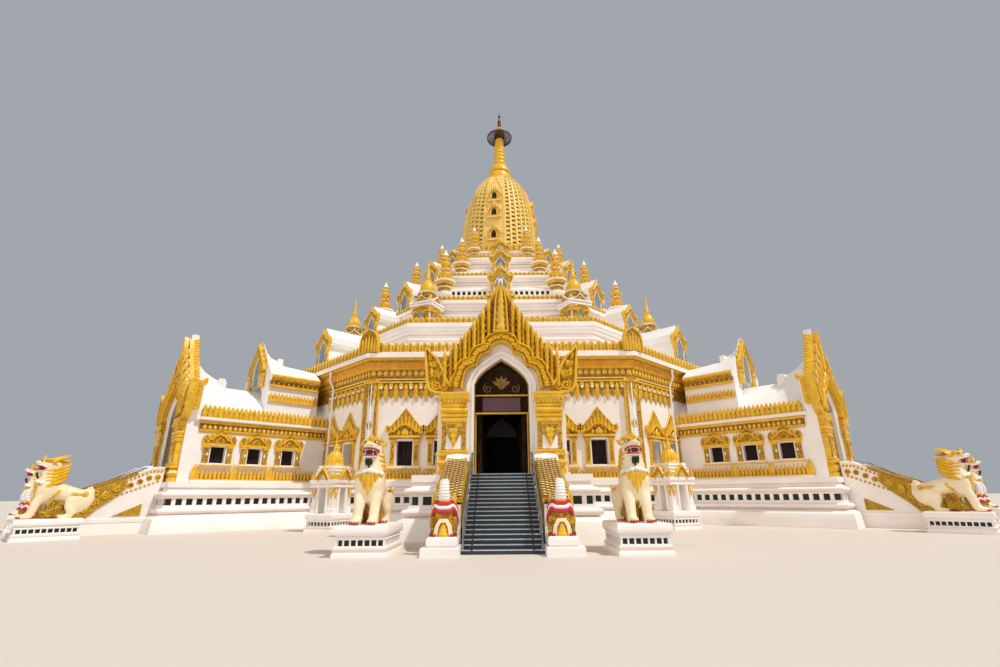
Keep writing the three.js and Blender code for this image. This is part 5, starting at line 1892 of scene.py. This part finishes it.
def lion():
    """A crouching lion with its chest up, its mouth open and a gold apron."""
    made = lion_body().put(lion_head()).put(lion_mane())
    for j in range(-3, 4):
        x = j * 0.135
        out = 37.34 - 1.1 * x * x
        made.put(ellipsoid((x, out - 0.06, 2.84 - 0.04 * abs(j)), (0.1, 0.08, 0.1), "white", 0, 8, 5))
        tall = 0.8 - abs(j) * 0.19
        made.put(leaf(0.2, tall, 0.07), aim((x, out - 0.03, 2.72), (-x * 0.25, -0.14, -1), (x, 1, 0)))
    for s in (-1, 1):
        for j in range(4):
            spread = (j - 1.5) * 0.09
            for x, r in ((0.28, 37.66), (0.37, 36.3)):
                toe = (s * x + spread, r - abs(spread) * 0.4, 1.1)
                made.put(ellipsoid(toe, (0.035, 0.07, 0.045), "red", 0, 6, 4))
        made.put(scroll(0.15, 1.3, 0.035), aim((s * 0.45, 35.3, 2.2), (0, 0, 1), (s, -0.1, 0.3)))
        made.put(leaf(0.14, 0.5, 0.05), aim((s * 0.44, 35.45, 2.14), (0, 1, 0.25), (s, 0, 0.4)))
        for r, z, tall, along in (
            (36.0, 1.1, 0.6, (0, -0.3, 1)),
            (36.22, 1.1, 0.7, (0, 0.1, 1)),
            (36.46, 1.1, 0.6, (0, 0.4, 1)),
            (36.68, 1.1, 0.45, (0, 0.7, 1)),
        ):
            made.put(leaf(0.32, tall, 0.14, "carved"), aim((s * 0.2, r, z), along, (s, 0, 0)))
    made.put(ellipsoid((0, 36.3, 1.35), (0.22, 0.5, 0.36), "carved"))
    # above the chest, all heights shrink a little
    chest, share = 2.6, 0.88
    made.points = [(x, r, z if z < chest else chest + (z - chest) * share) for x, r, z in made.points]
    return made


# Corner shrine
def fluted(profile, flutes, depth, paint):
    """A turned shape whose sides swell and sink by a share of the radius."""
    rings = []
    for r, z in profile:
        ring = []
        for i, (c, s) in enumerate(circle(1, flutes * 2)):
            grow = r * (1 + depth * (-1) ** i)
            ring.append((grow * c, grow * s, z))
        rings.append(ring)
    return loft(rings, paint)


def shrine_face():
    """One arch of a corner shrine, with its gable and its capitals."""
    face = Shape()
    arch = arch_line(0.23, 2.5, 3.12, 1.02, 6)
    moulding = [(0, -0.55), (0, 0.1), (0.05, 0.16), (0.14, 0.16), (0.2, 0.08), (0.2, -0.3)]
    face.put(sweep(arch, moulding, "white"))
    gable = [
        ((0, 3.18), (0, 3.52)), ((0.15, 3.0), (0.22, 3.3)), ((0.26, 2.84), (0.38, 3.06)),
        ((0.3, 2.7), (0.54, 2.86)),
    ]
    face.put(cusped_band(gable, 0.12, 0.3))
    face.put(leaf(0.2, 0.34, 0.1), move(0, 3.36, 0.16))
    for s in (-1, 1):
        face.put(leaf(0.16, 0.24, 0.08), move(s * 0.3, 3.12, 0.16))
        face.put(leaf(0.16, 0.24, 0.08), move(s * 0.5, 2.84, 0.16))
        # a white leaf on a gold triangle, both of which point down
        capital = [(s * 0.62 - 0.17, 2.34), (s * 0.62, 1.78), (s * 0.62 + 0.17, 2.34)]
        face.put(plate(capital, 0.1, 0.16, "gold", 0.02))
        face.put(leaf(0.12, 0.3, 0.05, "white"), move(s * 0.62, 2.3, 0.13) @ UPSIDE_DOWN)
    return face


def corner_shrine():
    """Four tall arches under gold gables, white tiers, a fluted bell and a spire, round the origin."""
    made = Shape()
    made.put(pedestal(-0.97, 0.97, -0.97, 0.97, 1.0, 7, 7))
    face = shrine_face()
    for k in range(4):
        a = k * math.pi / 2
        made.put(face, wall(a, 0.68))
        diagonal = a + math.pi / 4
        x, y = 0.88 * math.cos(diagonal), 0.88 * math.sin(diagonal)
        column = [(0.2, 1.0), (0.2, 1.22), (0.15, 1.26), (0.14, 2.34), (0.18, 2.42)]
        rings = [
            [(x - g, y - g, z), (x + g, y - g, z), (x + g, y + g, z), (x - g, y + g, z)] for g, z in column
        ]
        made.put(loft(rings, "white"))
        made.put(leaf(0.34, 0.42, 0.12), wall(diagonal, 1.1, 0, 2.84))
        for s in (-1, 1):
            made.put(leaf(0.24, 0.3, 0.08), wall(diagonal + s * 0.3, 0.98, 0, 2.86))
    cornice = [
        (0.8, 2.38), (0.87, 2.43), (0.87, 2.52), (0.82, 2.55), (0.86, 2.63), (0.92, 2.69), (0.92, 2.84),
        (0.7, 2.88),
    ]
    # the downward faces of the cornice are painted pinker, as painted shade
    made.put(square_rings(cornice, ["blush", "white", "white", "blush", "white", "white", "white"]))
    tiers = [
        (0.74, 2.86), (0.74, 3.08), (0.77, 3.08), (0.77, 3.12), (0.72, 3.13), (0.72, 3.28), (0.75, 3.29),
        (0.75, 3.33), (0.66, 3.34), (0.66, 3.46), (0.69, 3.47), (0.69, 3.51), (0.62, 3.52), (0.62, 3.66),
    ]
    tier_paints = ["white"] * (len(tiers) - 1)
    for ring in (2, 6, 10):
        tier_paints[ring] = "gold"
    made.put(square_rings(tiers, tier_paints))
    bell = [(0.52, 3.64), (0.54, 3.72), (0.5, 3.78), (0.5, 3.95), (0.46, 4.12), (0.38, 4.3), (0.26, 4.48)]
    made.put(fluted(bell, 16, 0.04, "gold"))
    top = [
        (0.26, 4.47), (0.18, 4.52), (0.21, 4.57), (0.14, 4.62), (0.16, 4.7), (0.1, 4.78), (0.12, 4.86),
        (0.07, 4.96), (0.09, 5.06), (0.045, 5.2), (0.03, 5.5), (0.006, 5.85),
    ]
    made.put(turned(top, 16, "gold"))
    return made


# Camera, floor and light
def camera():
    """The view from in front of the stair, at eye height, looking up."""
    data = bpy.data.cameras.new("camera")
    obj = bpy.data.objects.new("camera", data)
    bpy.context.scene.collection.objects.link(obj)
    data.sensor_width = 36.0
    data.sensor_fit = "HORIZONTAL"
    data.lens = FOCAL_LENGTH * data.sensor_width / PICTURE_WIDTH
    data.clip_end = 400
    look = spin(YAW) @ about_x(math.pi / 2 + PITCH) @ spin(TILT)
    obj.matrix_world = move(0, -CAMERA_BACK * UNIT, EYE_HEIGHT * UNIT) @ look
    bpy.context.scene.camera = obj


def studio():
    """A plain pale floor and soft studio light."""
    size = 400
    mesh = bpy.data.meshes.new("floor")
    corners = [(-size, -size, 0), (size, -size, 0), (size, size, 0), (-size, size, 0)]
    mesh.from_pydata(corners, [], [(0, 1, 2, 3)])
    floor = bpy.data.objects.new("floor", mesh)
    bpy.context.scene.collection.objects.link(floor)
    ground = bpy.data.materials.new("floor")
    ground.use_nodes = True
    shader = ground.node_tree.nodes["Principled BSDF"]
    shader.inputs["Base Color"].default_value = (0.72, 0.64, 0.56, 1)
    shader.inputs["Roughness"].default_value = 0.8
    mesh.materials.append(ground)
    world = bpy.data.worlds.new("studio")
    bpy.context.scene.world = world
    world.use_nodes = True
    sky = world.node_tree.nodes["Background"]
    sky.inputs["Color"].default_value = (0.86, 0.91, 1.0, 1)
    sky.inputs["Strength"].default_value = 0.42
    # a crisp sun high on the right and a little in front, and a wide soft one from the left
    for name, strength, turn, height, spread, tint in (
        ("key", 2.55, 60, 57, 2, (1.0, 0.97, 0.92)),
        ("fill", 0.78, -30, 25, 60, (1.0, 0.87, 0.77)),
    ):
        data = bpy.data.lights.new(name, "SUN")
        data.energy = strength
        data.angle = math.radians(spread)
        data.color = tint
        lamp = bpy.data.objects.new(name, data)
        bpy.context.scene.collection.objects.link(lamp)
        lamp.matrix_world = spin(math.radians(turn)) @ about_x(math.radians(90 - height))
    bpy.context.scene.view_settings.view_transform = "Standard"


base = piece("plinth_moulded", plinth(), 40)
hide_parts("plinth")
around("vent_posts", vent_posts(), 0)
for k, made in enumerate(around("wall_bay_plastered", wall_bay())):
    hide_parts(f"wall_bay_{k + 1}")
for k, made in enumerate(around("roof_swept", wing_roof(), 20)):
    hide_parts(f"wing_roof_{k + 1}")
around("wing_trim", wing_trim())
around("core_trim", core_trim())
around("porch", Shape().put(porch(), wall(FRONT, FACADE)))
around("high_gable", Shape().put(high_gable(), wall(FRONT, HIGH_FACE)))
stairs = flight().put(along_wing(both(cheek().put(guardian()))))
for k, made in enumerate(around("stair_carved", stairs)):
    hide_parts(f"stair_{k + 1}")
around("handrails", handrails())
seat = pedestal(*LION_SEAT, 0.98, 7, 10)
beast = along_wing(seat.put(lion(), move((LION_SEAT[0] + LION_SEAT[1]) / 2, -0.06, -0.06)))
for name, side in (("right", beast), ("left", Shape().put(beast, MIRROR))):
    for k, made in enumerate(around(f"lion_carved_{name}", side, 45)):
        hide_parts(f"lion_{name}_{k + 1}")
shrine = Shape().put(corner_shrine(), move(0, -SHRINE_RADIUS))
for k, made in enumerate(around("shrine_carved", shrine, 30, 0.5)):
    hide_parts(f"corner_shrine_{k + 1}")
band = piece("cornice_moulded", main_cornice())
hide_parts("main_cornice")
around("cornice_trim", cornice_trim())
for i, step in enumerate(TERRACES):
    body = piece(f"terrace_moulded_{i + 1}", terrace_body(step))
    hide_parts(f"terrace_{i + 1}")
    around(f"terrace_trim_{i + 1}", terrace_trim(step))
    if i:
        around(f"terrace_corner_{i + 1}", terrace_extras(i))
lattice = piece("lattice_tower", tower())
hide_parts("tower")
cone = piece("ringed_spire", spire(), 50)
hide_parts("spire")
dish = piece("umbrella_crown", umbrella(), 50)
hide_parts("umbrella")
tip = piece("finial_tip", finial(), 50)
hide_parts("finial")

camera()
studio()
triangles = {name: sum(len(p.vertices) - 2 for p in o.data.polygons) for name, o in PIECES.items()}
print("pieces", len(triangles), "triangles", sum(triangles.values()), "largest", max(triangles.values()))
